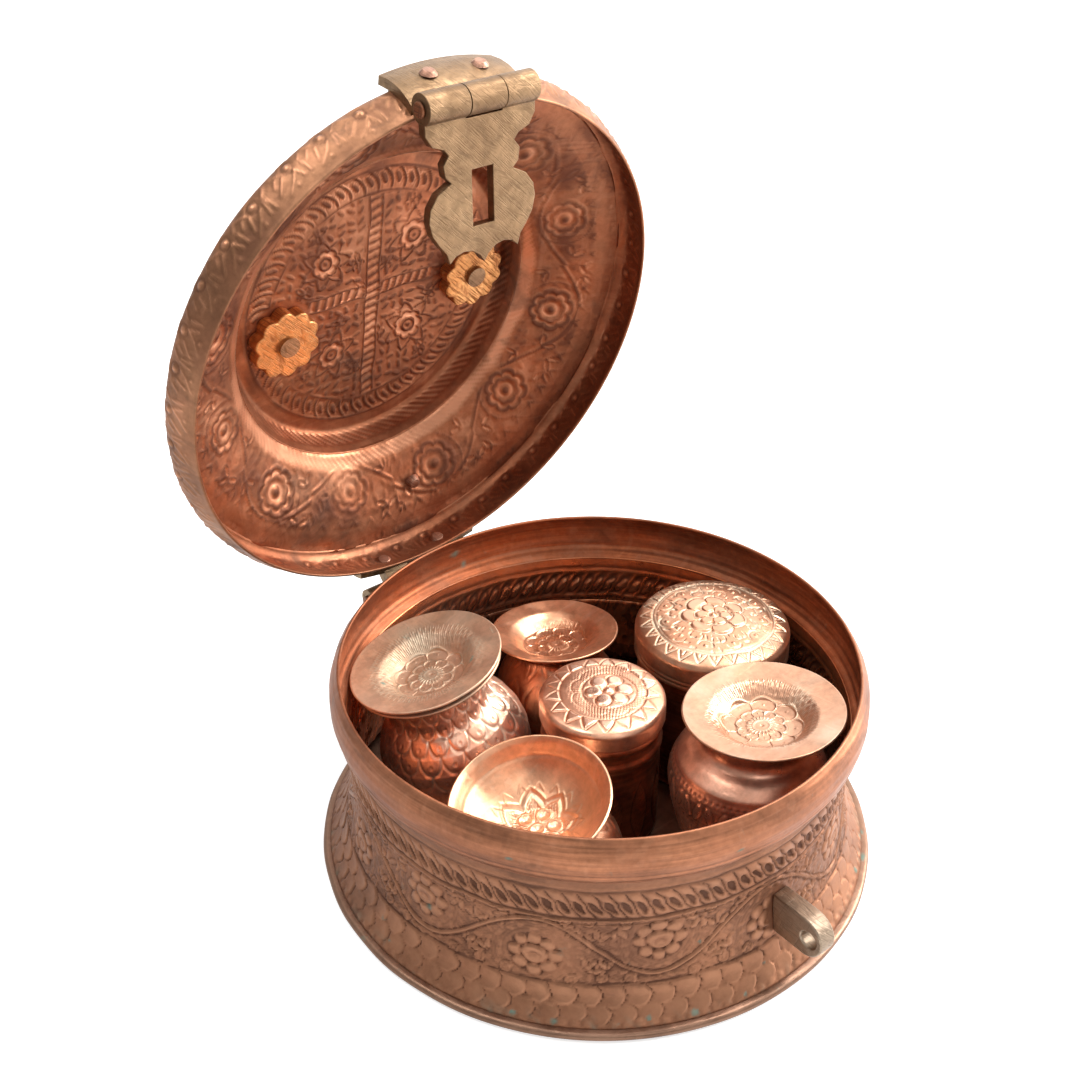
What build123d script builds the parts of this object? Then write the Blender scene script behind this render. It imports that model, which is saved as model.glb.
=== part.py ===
from build123d import *
import math
import os

# A hammered copper spice box: round drum, domed lid on a back hinge, hasp over a
# staple at the front, and seven small vessels inside. All sizes in millimetres.
# Frame: origin at the centre of the base underside, +Z up, hinge at +Y, hasp at -Y.
# The lid is modelled shut and then turned about the hinge pin into its open pose.

# ---- driving dimensions -------------------------------------------------------
BASE_R = 100.0
BASE_T = 3.2
WALL = 1.0
# outer side of the drum, from the foot seam up to the rim (radius, height)
DRUM = [(97.1, 3.2), (94.6, 6.5), (91.4, 12.0), (89.2, 19.0), (87.9, 28.0), (87.3, 38.0),
        (87.3, 48.0), (87.7, 56.0), (88.2, 59.2), (90.1, 60.4), (91.7, 63.5), (92.5, 67.5),
        (92.3, 71.5), (91.1, 75.0), (89.2, 77.6)]

LID_Z = 61.2          # height of the shut lid's rim
OPEN = 78.4           # how far the lid stands open at rest
HINGE_Z = 55.6
HINGE_HALF = 27.0
KNUCKLE = 5.0
PIN_R = 1.75
RUN = 0.06            # radial clearance of a turning fit
SIDE = 0.3            # clearance at the side of a knuckle
# inner side of the lid, from its rim to the middle (radius, height over the rim)
LID_IN = [(95.0, 0.0), (96.4, 3.2), (97.6, 6.6), (98.3, 9.8), (98.2, 12.4), (96.6, 14.4),
          (94.0, 15.4), (89.2, 16.9), (83.0, 19.8), (76.5, 23.3), (70.0, 26.9), (65.0, 29.4), (62.2, 31.4),
          (60.6, 35.6), (59.6, 39.2), (58.9, 41.2), (57.8, 42.4)]
HINGE_OUT = 4.4       # the hinge's pivot lies this far outside the lid's widest inner radius
HINGE_Y = max(r for r, z in LID_IN) + HINGE_OUT

HASP_X = 1.5          # the hasp and staple stand a little right of the middle
HASP_Y = -99.3        # hasp pin with the lid shut
LEAF_X = 3.0
HASP_Z = 56.4
HASP_T = 3.4
HASP_KNUCKLES = (-21.3, -5.7, 8.1, 21.3)

STAPLE_Z = (18.4, 33.4)
STAPLE_W = 6.6
STAPLE_END = 108.8
STAPLE_HOLE_Y = 103.4
STAPLE_HOLE_R = 3.1

POST_X = 41.2
BAIL_SHIFT = (2.7, 2.9)   # the handle sits a little off the lid's middle
BAIL_TURN = -3.5          # and a little askew
POST_R = 3.5
EYE_H = 52.4          # height of the bail's pivots over the lid's rim
EYE_R = 6.2
EYE_T = 7.2
BAIL_R = 2.9


# ---- helpers ------------------------------------------------------------------
def flat(points):
    """A face in the XZ plane from (radius, height) points."""
    return make_face(Polyline([(r, 0, h) for r, h in points], close=True))


def turned(points):
    """A solid of revolution about Z."""
    return revolve(flat(points), Axis.Z)


def side(points, t):
    """The points moved t to the left of their direction of travel."""
    moved = []
    for i, (r, h) in enumerate(points):
        normals = []
        for a, b in ((i - 1, i), (i, i + 1)):
            if a < 0 or b >= len(points):
                continue
            dr = points[b][0] - points[a][0]
            dh = points[b][1] - points[a][1]
            n = math.hypot(dr, dh)
            normals.append((-dh / n, dr / n))
        nr = sum(n[0] for n in normals)
        nh = sum(n[1] for n in normals)
        n = math.hypot(nr, nh)
        nr, nh = nr / n, nh / n
        c = nr * normals[0][0] + nh * normals[0][1]
        moved.append((max(0.0, r + nr * t / c), h + nh * t / c))
    return moved


def vessel(outer, t):
    """A thin open vessel: its outer side from the middle of the bottom to the mouth."""
    inner = side(outer, t)
    inner[0] = (0.0, outer[0][1] + t)
    return turned(outer + inner[::-1])


def arc_points(cr, ch, r, a0, a1, n):
    """Points on an arc about (cr, ch), angles in degrees from the radial direction."""
    out = []
    for i in range(n + 1):
        a = math.radians(a0 + (a1 - a0) * i / n)
        out.append((cr + r * math.cos(a), ch + r * math.sin(a)))
    return out


def rod(x0, x1, y, z, r):
    """A rod along X."""
    return Pos((x0 + x1) / 2, y, z) * Rot(0, 90, 0) * Cylinder(r, x1 - x0)


def block(x0, x1, y0, y1, z0, z1):
    return Pos((x0 + x1) / 2, (y0 + y1) / 2, (z0 + z1) / 2) * Box(x1 - x0, y1 - y0, z1 - z0)


def bar(points, x0, x1):
    """A bar along X with the section given as (y, z) points."""
    face = make_face(Polyline([(x0, y, z) for y, z in points], close=True))
    return extrude(face, amount=x1 - x0, dir=(1, 0, 0))


def opened(shape):
    """Turn a piece of the shut lid into its open pose."""
    return shape.rotate(Axis((0, HINGE_Y, HINGE_Z), (1, 0, 0)), -OPEN)


def one(shape):
    """The single solid of a shape."""
    solids = shape.solids()
    solids.sort(key=lambda s: -s.volume)
    return solids[0]


def write(name, shape):
    solid = one(shape)
    solid.label = name
    export_step(solid, "parts/" + name + ".step")


# ---- base and drum ------------------------------------------------------------
base = turned([(0, 0), (BASE_R - 0.8, 0), (BASE_R, 0.8), (BASE_R, BASE_T - 0.8),
               (BASE_R - 0.8, BASE_T), (0, BASE_T)])
write("base_plate", base)

drum_inner = side(DRUM, WALL)
drum_inner[0] = (DRUM[0][0] - 1.6, BASE_T)
drum_inner[-1] = (DRUM[-1][0] - WALL, DRUM[-1][1])
drum = turned(DRUM + drum_inner[::-1])
drum_full = turned([(0, BASE_T)] + DRUM + [(0, DRUM[-1][1])])


# ---- hinge --------------------------------------------------------------------
def slots(n):
    """The x-ranges of n hinge knuckles."""
    w = 2 * HINGE_HALF / n
    return [(-HINGE_HALF + i * w, -HINGE_HALF + (i + 1) * w) for i in range(n)]


REACH = 2 * BASE_R  # further than any piece goes
knuckles = slots(5)
BODY_LEAF_Z = (27.0, 47.0)
pad = turned([(80, BODY_LEAF_Z[0]), (90.2, BODY_LEAF_Z[0]), (90.2, BODY_LEAF_Z[1]), (80, BODY_LEAF_Z[1])])
pad = pad & block(-HINGE_HALF, HINGE_HALF, 0, REACH, 0, REACH)
arm = bar([(80, 38), (90.2, 38), (95, 43.0), (HINGE_Y, 51.2), (HINGE_Y, 56), (98.8, 57.0),
           (94.5, 54.6), (90.5, 49.5), (80, 47)], -HINGE_HALF, HINGE_HALF)
body_leaf = pad + arm
for i, (a, b) in enumerate(knuckles):
    if i % 2 == 0:
        body_leaf = body_leaf + rod(a, b, HINGE_Y, HINGE_Z, KNUCKLE)
for i, (a, b) in enumerate(knuckles):
    if i % 2 == 1:
        body_leaf = body_leaf - rod(a - SIDE / 2, b + SIDE / 2, HINGE_Y, HINGE_Z, KNUCKLE + 0.5)
body_leaf = body_leaf - rod(-40, 40, HINGE_Y, HINGE_Z, PIN_R)
body_leaf = body_leaf - drum_full

HEAD_R = 3.0


def rivet_y(x, y0, y1, z, r, heads=(1.3, 0.9)):
    """A rivet along Y between y0 (inner head) and y1 (outer head), at x and z."""
    shank = Pos(x, (y0 + y1) / 2, z) * Rot(90, 0, 0) * Cylinder(r, y1 - y0 + 0.4)
    cap = Pos(x, y1 + heads[0] / 2, z) * Rot(-90, 0, 0) * Cone(HEAD_R, HEAD_R * 0.62, heads[0])
    tail = Pos(x, y0 - heads[1] / 2, z) * Rot(90, 0, 0) * Cone(HEAD_R, HEAD_R * 0.7, heads[1])
    return shank + cap + tail


def bore_y(x, z, r, y0, y1):
    return Pos(x, (y0 + y1) / 2, z) * Rot(90, 0, 0) * Cylinder(r, y1 - y0)


RIVET_R = 1.7
BODY_RIVETS = ((-16.0, 32.0), (16.0, 32.0))
for x, z in BODY_RIVETS:
    body_leaf = body_leaf - bore_y(x, z, RIVET_R, 70, 100)
    drum = drum - bore_y(x, z, RIVET_R, 70, 100)

write("hinge_body_leaf", body_leaf)
for name, (x, z) in zip(("left", "right"), BODY_RIVETS):
    y0 = math.sqrt(86.1 ** 2 - x ** 2) + 0.1
    y1 = math.sqrt(90.2 ** 2 - x ** 2)
    rivet = rivet_y(x, y0, y1, z, RIVET_R) - drum - body_leaf
    write("body_rivet_" + name, rivet)

pin = rod(-HINGE_HALF - 0.2, HINGE_HALF + 0.2, HINGE_Y, HINGE_Z, PIN_R)
pin = pin + rod(-HINGE_HALF - 1.4, -HINGE_HALF, HINGE_Y, HINGE_Z, 2.7)
pin = pin + rod(HINGE_HALF, HINGE_HALF + 1.4, HINGE_Y, HINGE_Z, 2.7)
write("hinge_pin", pin)

# ---- staple -------------------------------------------------------------------
sx0 = HASP_X - STAPLE_W / 2
sx1 = HASP_X + STAPLE_W / 2
smid = (STAPLE_Z[0] + STAPLE_Z[1]) / 2
srad = (STAPLE_Z[1] - STAPLE_Z[0]) / 2
staple = block(sx0, sx1, -(STAPLE_END - srad), -84.0, STAPLE_Z[0], STAPLE_Z[1])
staple = staple + rod(sx0, sx1, -(STAPLE_END - srad), smid, srad)
staple = staple - rod(sx0 - 5, sx1 + 5, -STAPLE_HOLE_Y, smid, STAPLE_HOLE_R)
# through the wall: a square tang, peened on the inside
tang = block(HASP_X - 2.2, HASP_X + 2.2, -90, -84.2, smid - 4, smid + 4)
burr = block(HASP_X - 4.0, HASP_X + 4.0, -86.2, -84.0, smid - 6.2, smid + 6.2)
slot = block(HASP_X - 2.2, HASP_X + 2.2, -95, -80, smid - 4, smid + 4)
drum = drum - slot
staple = (staple - drum_full) + tang
staple = staple - drum
washer = burr - drum_full.intersect(drum) - slot
write("staple", staple)
write("staple_washer", washer)
write("drum_wall", drum)

# ---- lid shell ----------------------------------------------------------------
lid_out = side(LID_IN, -WALL)
lid_out[0] = (LID_IN[0][0] + WALL, 0.0)
lid_out.append((0.0, LID_IN[-1][1] + WALL))
lid_profile = LID_IN + [(0.0, LID_IN[-1][1])] + lid_out[::-1]
lid = Pos(0, 0, LID_Z) * turned(lid_profile)
lid_full = Pos(0, 0, LID_Z) * turned([(0, -0.5), (lid_out[0][0], -0.5)] + lid_out)

# the leaves hug the skirt: a band over the skirt's outside, cut to width
band = Pos(0, 0, LID_Z) * turned([(90, 0.8), (99.4, 0.8), (100.8, 3.6), (101.9, 7.0), (102.4, 10.0),
                                 (102.3, 12.8), (101.0, 15.4), (90, 15.4)])
band = band - lid_full

back = band & block(-HINGE_HALF, HINGE_HALF, 0, REACH, 0, REACH)
web = bar([(96.6, 62.4), (99.4, 66.4), (101.6, 64.8), (105.6, 59.6), (106.6, 55.6), (HINGE_Y, 55.6),
           (99.2, 58.2)], -HINGE_HALF, HINGE_HALF)
lid_leaf = back
for i, (a, b) in enumerate(knuckles):
    if i % 2 == 1:
        inner = block(a + SIDE / 2, b - SIDE / 2, 0, REACH, 0, REACH)
        lid_leaf = lid_leaf + (web & inner)
        lid_leaf = lid_leaf + rod(a + SIDE / 2, b - SIDE / 2, HINGE_Y, HINGE_Z, KNUCKLE)
lid_leaf = lid_leaf - lid_full - rod(-40, 40, HINGE_Y, HINGE_Z, PIN_R + RUN)
for i, (a, b) in enumerate(knuckles):
    if i % 2 == 0:
        lid_leaf = lid_leaf - rod(a - SIDE / 2, b + SIDE / 2, HINGE_Y, HINGE_Z, KNUCKLE + 0.4)

LID_RIVET_Z = {1: LID_Z + 5.6, -1: LID_Z + 9.6}
lid_rivets = ((-13.0, 1), (13.0, 1))
hasp_rivets = ((LEAF_X - 10.0, -1), (LEAF_X + 10.0, -1))

hx = HASP_X
k0, k1, k2, k3 = [hx + k for k in HASP_KNUCKLES]
tall = Pos(0, 0, LID_Z) * turned([(90, 0.8), (99.4, 0.8), (100.8, 3.6), (101.9, 7.0), (102.4, 10.0),
                                 (102.4, 14.0), (101.6, 18.8), (98.6, 18.8), (99.2, 13.4), (90, 13.4)])
front = (tall - lid_full) & block(LEAF_X - 22.0, LEAF_X + 22.0, -REACH, 0, 0, REACH)
front_web = bar([(-96.3, 63.4), (-96.3, 58.0), (-99.3, 56.4), (-103.8, 57.4), (-102.8, 60.0),
                 (-99.8, 63.4)], k1 + SIDE / 2, k2 - SIDE / 2)
hasp_leaf = front + front_web + rod(k1 + SIDE / 2, k2 - SIDE / 2, HASP_Y, HASP_Z, KNUCKLE)
hasp_leaf = hasp_leaf - lid_full - rod(hx - 40, hx + 40, HASP_Y, HASP_Z, PIN_R + RUN)
hasp_leaf = hasp_leaf - rod(k0 - 1, k1 + SIDE / 2, HASP_Y, HASP_Z, KNUCKLE + 0.4)
hasp_leaf = hasp_leaf - rod(k2 - SIDE / 2, k3 + 1, HASP_Y, HASP_Z, KNUCKLE + 0.4)

for x, s in lid_rivets + hasp_rivets:
    a, b = sorted((s * 80, s * 110))
    hole = bore_y(x, LID_RIVET_Z[s], RIVET_R, a, b)
    lid = lid - hole
    lid_leaf = lid_leaf - hole
    hasp_leaf = hasp_leaf - hole


def skirt_rivet(x, s):
    """A rivet through a leaf and the skirt; s is the side, +1 back, -1 front."""
    xx = x
    y0 = math.sqrt((97.2 if s > 0 else 98.2) ** 2 - xx ** 2)
    y1 = math.sqrt((101.6 if s > 0 else 102.4) ** 2 - x ** 2)
    made = rivet_y(x, y0, y1, LID_RIVET_Z[s], RIVET_R)
    if s < 0:
        made = made.mirror(Plane.XZ)
    return made - lid - lid_leaf - hasp_leaf


for name, (x, s) in zip(("left", "right"), lid_rivets):
    write("lid_rivet_" + name, opened(skirt_rivet(x, s)))
for name, (x, s) in zip(("left", "right"), hasp_rivets):
    write("hasp_rivet_" + name, opened(skirt_rivet(x, s)))
PLUG = (10.6, 77.5)
plug_in = LID_Z + 22.6
bore = Pos(PLUG[0], PLUG[1], plug_in) * Cylinder(RIVET_R, 20)
plug = Pos(PLUG[0], PLUG[1], plug_in + 0.6) * Cylinder(RIVET_R, 5.4)
plug = plug + Pos(PLUG[0], PLUG[1], plug_in - 1.6) * Cone(HEAD_R * 0.7, HEAD_R, 2.4)
plug = plug + Pos(PLUG[0], PLUG[1], plug_in + 2.6) * Cone(HEAD_R, HEAD_R * 0.7, 2.4)
lid = lid - bore
write("lid_plug_rivet", opened(plug - lid))
write("hinge_lid_leaf", opened(lid_leaf))
write("hasp_lid_leaf", opened(hasp_leaf))


# ---- bail handle and its posts ------------------------------------------------
def flower(r, t, lobes):
    """A flat washer with a lobed edge, standing on z = 0."""
    points = []
    for i in range(lobes * 8):
        a = 2 * math.pi * i / (lobes * 8)
        f = abs(math.sin(lobes * a / 2))
        points.append((r * (0.86 + 0.14 * f) * math.cos(a), r * (0.86 + 0.14 * f) * math.sin(a), 0))
    return extrude(make_face(Polyline(points, close=True)), amount=t)


def handle_place(shape):
    """Shift and turn a piece of the handle group on the shut lid."""
    return Pos(BAIL_SHIFT[0], BAIL_SHIFT[1], 0) * Rot(0, 0, BAIL_TURN) * shape


plate_in = LID_Z + LID_IN[-1][1]
plate_out = plate_in + WALL
INNER_T = 5.4
OUTER_T = 2.4
eye_z = LID_Z + EYE_H
for name, x in (("left", -POST_X), ("right", POST_X)):
    hole = Pos(x, 0, plate_in) * Cylinder(POST_R, 40)
    lid = lid - handle_place(hole)
    inner_washer = Pos(x, 0, plate_in - INNER_T) * flower(13.4, INNER_T, 10) - hole
    outer_washer = Pos(x, 0, plate_out) * flower(10.5, OUTER_T, 10) - hole
    low = plate_in - INNER_T
    shank = Pos(x, 0, (low - 1.0 + eye_z) / 2) * Cylinder(POST_R, eye_z - low + 1.0)
    peen = Pos(x, 0, low - 0.8) * Cylinder(POST_R + 0.5, 1.6)
    collar = Pos(x, 0, plate_out + OUTER_T + 0.75) * Cylinder(4.8, 1.5)
    eye = rod(x - EYE_T / 2, x + EYE_T / 2, 0, eye_z, EYE_R)
    post = shank + peen + collar + eye
    post = post - rod(x - 10, x + 10, 0, eye_z, BAIL_R + RUN)
    write("inner_washer_" + name, opened(handle_place(inner_washer)))
    write("outer_washer_" + name, opened(handle_place(outer_washer)))
    write("handle_post_" + name, opened(handle_place(post)))
write("lid_shell", opened(lid))

# the bail: stubs through the eyes, legs back towards the hinge, arched grip
bx = POST_X - EYE_T / 2 - 0.4
leg = bx - BAIL_R - 0.3
left_leg = Pos(-leg, 6, eye_z) * Rot(90, 0, 0) * Cylinder(BAIL_R, 12)
right_leg = Pos(leg, 6, eye_z) * Rot(90, 0, 0) * Cylinder(BAIL_R, 12)
ring = Plane(origin=(-leg, 12, eye_z), z_dir=(0, 1, 0)) * Circle(BAIL_R)
arch = revolve(ring, axis=Axis((0, 12, eye_z), (0, 0, -1)), revolution_arc=180)
bail = arch + left_leg + right_leg
for s in (-1, 1):
    bail = bail + Pos(s * leg, 0, eye_z) * Sphere(BAIL_R)
    a, b = sorted((s * leg, s * (POST_X + EYE_T / 2 + 1.6)))
    bail = bail + rod(a, b, 0, eye_z, BAIL_R)
    a, b = sorted((s * (POST_X + EYE_T / 2 + 0.4), s * (POST_X + EYE_T / 2 + 2.2)))
    bail = bail + rod(a, b, 0, eye_z, BAIL_R + 1.1)
droop = math.degrees(math.asin((eye_z - plate_out - BAIL_R - RUN) / (12 + leg)))
bail = Pos(0, 0, eye_z) * Rot(-droop, 0, 0) * Pos(0, 0, -eye_z) * bail
write("bail_handle", opened(handle_place(bail)))

# ---- hasp pin and plate -------------------------------------------------------
a = math.radians(-OPEN)
dy = HASP_Y - HINGE_Y
dz = HASP_Z - HINGE_Z
pin_y = HINGE_Y + dy * math.cos(a) - dz * math.sin(a)
pin_z = HINGE_Z + dy * math.sin(a) + dz * math.cos(a)
hasp_pin = rod(k0 - 0.1, k3 + 0.1, pin_y, pin_z, PIN_R)
hasp_pin = hasp_pin + rod(k0 - 1.1, k0 - 0.1, pin_y, pin_z, 2.6)
hasp_pin = hasp_pin + rod(k3 + 0.1, k3 + 1.1, pin_y, pin_z, 2.6)
write("hasp_pin", hasp_pin)

# outline of the plate below the pin: (x from the middle, distance below the pin)
LEFT = [(-21.3, 0), (-21.3, 8.0), (-18.9, 11.8), (-14.6, 13.4), (-12.8, 15.4), (-15.0, 18.2),
        (-14.4, 22.2), (-12.2, 24.4), (-17.4, 27.0), (-20.5, 31.1), (-21.2, 35.3), (-20.0, 40.0),
        (-17.4, 44.0), (-15.0, 46.8), (-13.8, 50.6), (-11.4, 48.5), (-8.0, 47.7), (-4.6, 48.4),
        (-1.8, 50.4), (0.0, 52.9)]
outline = LEFT + [(-x, d) for x, d in reversed(LEFT[:-1])]
face = make_face(Polyline([(hx + x, pin_y + HASP_T / 2, pin_z - d) for x, d in outline], close=True))
plate = extrude(face, amount=HASP_T, dir=(0, -1, 0))
plate = plate + rod(k0, k1 - SIDE / 2, pin_y, pin_z, KNUCKLE)
plate = plate + rod(k2 + SIDE / 2, k3, pin_y, pin_z, KNUCKLE)
plate = plate - rod(k1 - SIDE / 2, k2 + SIDE / 2, pin_y, pin_z, KNUCKLE + 0.5)
plate = plate - rod(hx - 40, hx + 40, pin_y, pin_z, PIN_R + RUN)
SLOT_W = 8.4
SLOT_D = (21.6, 40.2)
plate = plate - block(hx - SLOT_W / 2, hx + SLOT_W / 2, pin_y - 9, pin_y + 9,
                      pin_z - SLOT_D[1], pin_z - SLOT_D[0])
write("hasp_plate", plate)


# ---- vessels ------------------------------------------------------------------
def place(shapes, x, y, tilt, az):
    """Lean a set of pieces tilt degrees towards azimuth az and stand it on the floor."""
    axis = Axis((0, 0, 0), (-math.sin(math.radians(az)), math.cos(math.radians(az)), 0))
    leaned = [s.rotate(axis, tilt) if tilt else s for s in shapes]
    low = leaned[0].bounding_box().min.Z
    return [Pos(x, y, BASE_T + 0.02 - low) * s for s in leaned]


def globe_pot(r, foot, neck, neck_h, mouth, mouth_h, t=1.0):
    """A round-bodied pot with a short neck and a turned-out mouth."""
    ch = math.sqrt(r * r - foot * foot)
    a0 = -math.degrees(math.acos(foot / r))
    a1 = math.degrees(math.acos((neck + 0.6) / r))
    outer = [(0, 0)] + arc_points(0, ch, r, a0, a1, 14)
    outer = outer + [(neck, outer[-1][1] + 1.6), (neck, neck_h), (mouth - 1.2, mouth_h - 1.4),
                     (mouth, mouth_h)]
    return vessel(outer, t)


def dish(rim, recess, depth, t=1.0):
    """A shallow dish with a wide, slightly raised rim round a sunk middle."""
    outer = [(0, 0), (recess, 0), (recess + 1.8, 1.6), (recess + 3.0, depth * 0.62),
             (recess + 5.0, depth * 0.74), (rim - 1.2, depth - 0.3), (rim, depth)]
    return vessel(outer, t)


def disc_lid(r, skirt, dome, t=1.0):
    """A cap: a skirt r wide outside and a shallow dome, standing on z = 0 at its rim."""
    outer = [(r, 0), (r, skirt - 0.8), (r - 0.7, skirt)]
    for i in range(1, 9):
        q = math.radians(90 * i / 8)
        outer.append(((r - 0.7) * math.cos(q), skirt + dome * math.sin(q)))
    outer[-1] = (0.0, skirt + dome)
    inner = [(r - t, 0), (r - t, skirt - t)]
    for i in range(1, 9):
        q = math.radians(90 * i / 8)
        inner.append(((r - t) * math.cos(q), skirt - t + dome * math.sin(q)))
    inner[-1] = (0.0, skirt + dome - t)
    return turned(outer + inner[::-1])


# left: a leaning globe pot with two saucers on its mouth
pot = globe_pot(27.6, 12.5, 18.2, 55.0, 21.5, 58.4)
low_dish = Pos(0, 0, 54.1) * dish(26.6, 12.6, 6.6, 0.9)
top_dish = Pos(0, 0, 56.2) * dish(27.6, 12.4, 7.4, 0.9)
pot, low_dish, top_dish = place([pot, low_dish, top_dish], -28.6, 36.0, 14.0, 145.0)
write("pot_left", pot)
write("saucer_left", low_dish)
write("dish_left", top_dish)

# back: a squat pot with one dish
pot = globe_pot(23.6, 12.0, 15.6, 41.0, 19.5, 44.2)
top_dish = Pos(0, 0, 39.5) * dish(24.2, 12.0, 7.0, 0.9)
pot, top_dish = place([pot, top_dish], 17.2, 41.5, 8.0, 65.0)
write("pot_back", pot)
write("dish_back", top_dish)

# right back: a tin with a domed cap
TIN_R = 27.3
CAP_OVER = 1.3  # a cap's skirt stands this far outside its tin
TIN_GAP = 1.6  # from the right tin to the drum's waist
tin_x = min(r for r, z in DRUM) - WALL - TIN_GAP - TIN_R
tin = vessel([(0, 0), (TIN_R - 1.0, 0), (TIN_R, 1.0), (TIN_R, 58.2)], 1.0)
cap = Pos(0, 0, 49.0) * disc_lid(TIN_R + CAP_OVER, 10.6, 4.6)
tin, cap = place([tin, cap], tin_x, 1.0, 0, 0)
write("tin_right", tin)
write("tin_right_lid", cap)

# centre: a small tin with ridges and a domed cap
R = 20.9
tin = vessel([(0, 0), (R - 1.2, 0), (R, 1.2), (R, 38.0), (R + 0.7, 39.0), (R + 0.7, 41.0), (R, 42.0),
              (R, 45.4), (R + 0.7, 46.4), (R + 0.7, 47.6), (R, 48.6), (R, 55.2)], 1.0)
cap = Pos(0, 0, 49.6) * disc_lid(R + 1.4, 6.6, 2.8)
centre_x = min(1.0, tin_x - TIN_R - CAP_OVER - 0.6 - (R + 1.4))
tin, cap = place([tin, cap], centre_x, -1.5, 0, 0)
write("tin_centre", tin)
write("tin_centre_lid", cap)

# right front: a squat shouldered pot with a wide dish set askew
outer = [(0, 0), (16, 0), (19.0, 3.0), (21.7, 10), (24.6, 20), (26.8, 29), (27.7, 36), (27.4, 41),
         (25.4, 45.5), (21.5, 48.8), (18.0, 50.6), (16.6, 52.8), (16.6, 56.5), (18.4, 59.2), (20.0, 60.4)]
pot = vessel(outer, 1.0)
pot, = place([pot], 28.4, -47.4, 0, 0)
top_dish = dish(27.4, 13.0, 7.2, 0.9)
leaning = top_dish.rotate(Axis((0, 0, 0), (-math.sin(math.radians(104)), math.cos(math.radians(104)), 0)), 4.5)
top_dish = Pos(30.2, -50.4, 61.2) * leaning
write("pot_right", pot)
write("dish_right", top_dish)

# front left: a leaning globe pot carrying a deep bowl
pot = globe_pot(26.5, 14.0, 19.8, 42.2, 21.4, 44.2)
bowl_outer = [(0, 0), (9.0, 0), (10.2, 0.9)] + arc_points(0, 27.5, 28.6, -67, -26, 10)
bowl_outer = bowl_outer + [(27.0, 16.6)]
bowl = Pos(0, 0, 37.4) * vessel(bowl_outer, 1.0)
pot, bowl = place([pot, bowl], -39.5, -24.5, 13.0, 185.0)
write("pot_front", pot)
write("bowl_front", bowl)

# front: a low open cup
cup = vessel([(0, 0), (12.5, 0), (14.0, 1.2), (16.6, 7.0), (18.0, 14.0), (18.7, 20.0), (19.0, 22.6)], 1.0)
cup, = place([cup], -16.6, -62.4, 0, 0)
write("cup_front", cup)
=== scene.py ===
"""A round copper sweet box: flanged base, chased drum, a domed lid laid back on its hinge with a
brass hasp, and the loose pots, tins, dishes, bowl and cup that stand in the drum."""
import math

import bpy
import bmesh
import numpy as np
from mathutils import Matrix


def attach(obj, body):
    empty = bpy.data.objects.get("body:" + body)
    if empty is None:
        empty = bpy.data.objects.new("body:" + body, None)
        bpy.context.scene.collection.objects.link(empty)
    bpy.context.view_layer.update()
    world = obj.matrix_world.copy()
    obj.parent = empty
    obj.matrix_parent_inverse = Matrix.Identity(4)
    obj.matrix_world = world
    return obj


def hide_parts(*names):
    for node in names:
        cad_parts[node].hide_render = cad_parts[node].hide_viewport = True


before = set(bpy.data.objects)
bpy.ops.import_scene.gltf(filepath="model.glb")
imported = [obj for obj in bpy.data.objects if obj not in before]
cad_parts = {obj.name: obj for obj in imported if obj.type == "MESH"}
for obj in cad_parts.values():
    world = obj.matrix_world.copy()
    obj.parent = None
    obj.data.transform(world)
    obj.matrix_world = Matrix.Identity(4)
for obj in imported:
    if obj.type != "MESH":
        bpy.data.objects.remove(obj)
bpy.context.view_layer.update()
MM = 0.001
TAU = 2 * np.pi

# sizes in millimetres, as the solids have them
HINGE_Y = 102.7
HINGE_Z = 55.6
LID_Z = 61.2
LID_OPEN = 78.4
FLOOR = 3.22
SHEET = 1.0
DISH_SHEET = 0.9
# mean radii on which the chased bands are laid out
WALL_R = 87.5
SKIRT_R = 99.0
SLOPE_R = 76.0
RIM_R = 90.0
CELLS_R = 48.0
# how many of each stand round their band
LEAF_CELLS = 112
WALL_FLOWERS = 14
COINS = 72
BEADS = 144
SKIRT_GROUPS = 43
ZIGZAGS = 70
SEEDS = 50
# degrees: the lid's first rosette and the turn from one to the next, and the wall's first flower
FIRST_ROSETTE = 13
ROSETTE_TURN = 30
FIRST_FLOWER = -144

# ---- soft steps and distances --------------------------------------------------


def dome(d, w):
    """A rounded ridge: half a cosine, 1 on the line and 0 at distance w from it."""
    return 0.5 + 0.5 * np.cos(np.pi * np.clip(np.abs(d) / w, 0, 1))


def inside(d, w=0.5):
    """1 where the distance d is negative, 0 where it is positive, smooth over the width w."""
    t = np.clip(0.5 - d / w, 0, 1)
    return t * t * (3 - 2 * t)


def between(v, low, high, w=0.6):
    """1 where v lies between low and high."""
    return inside(low - v, w) * inside(v - high, w)


def ribs(v, *marks):
    """Lines beaten where v passes given values: ridges of (height, value, width), below 0 for a groove."""
    return sum(height * dome(v - at, width) for height, at, width in marks)


def oval(x, y, a, b):
    """Near distance to an ellipse with half axes a and b about the origin."""
    k = np.hypot(x / a, y / b) + 1e-6
    g = np.hypot(x / a ** 2, y / b ** 2) + 1e-6
    return k * (k - 1) / g


def stroke(x, y, x0, y0, x1, y1):
    """Distance to the straight stroke from (x0, y0) to (x1, y1)."""
    dx = x1 - x0
    dy = y1 - y0
    t = np.clip(((x - x0) * dx + (y - y0) * dy) / (dx * dx + dy * dy), 0, 1)
    return np.hypot(x - x0 - t * dx, y - y0 - t * dy)


def turned(x, y, a):
    """The place (x, y) seen from axes turned by the angle a."""
    c = np.cos(a)
    s = np.sin(a)
    return x * c + y * s, y * c - x * s


def cell(x, pitch, shift=0.0):
    """x folded into one pitch, from minus half to plus half of it."""
    return (np.mod(x / pitch + shift + 0.5, 1) - 0.5) * pitch


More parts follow.
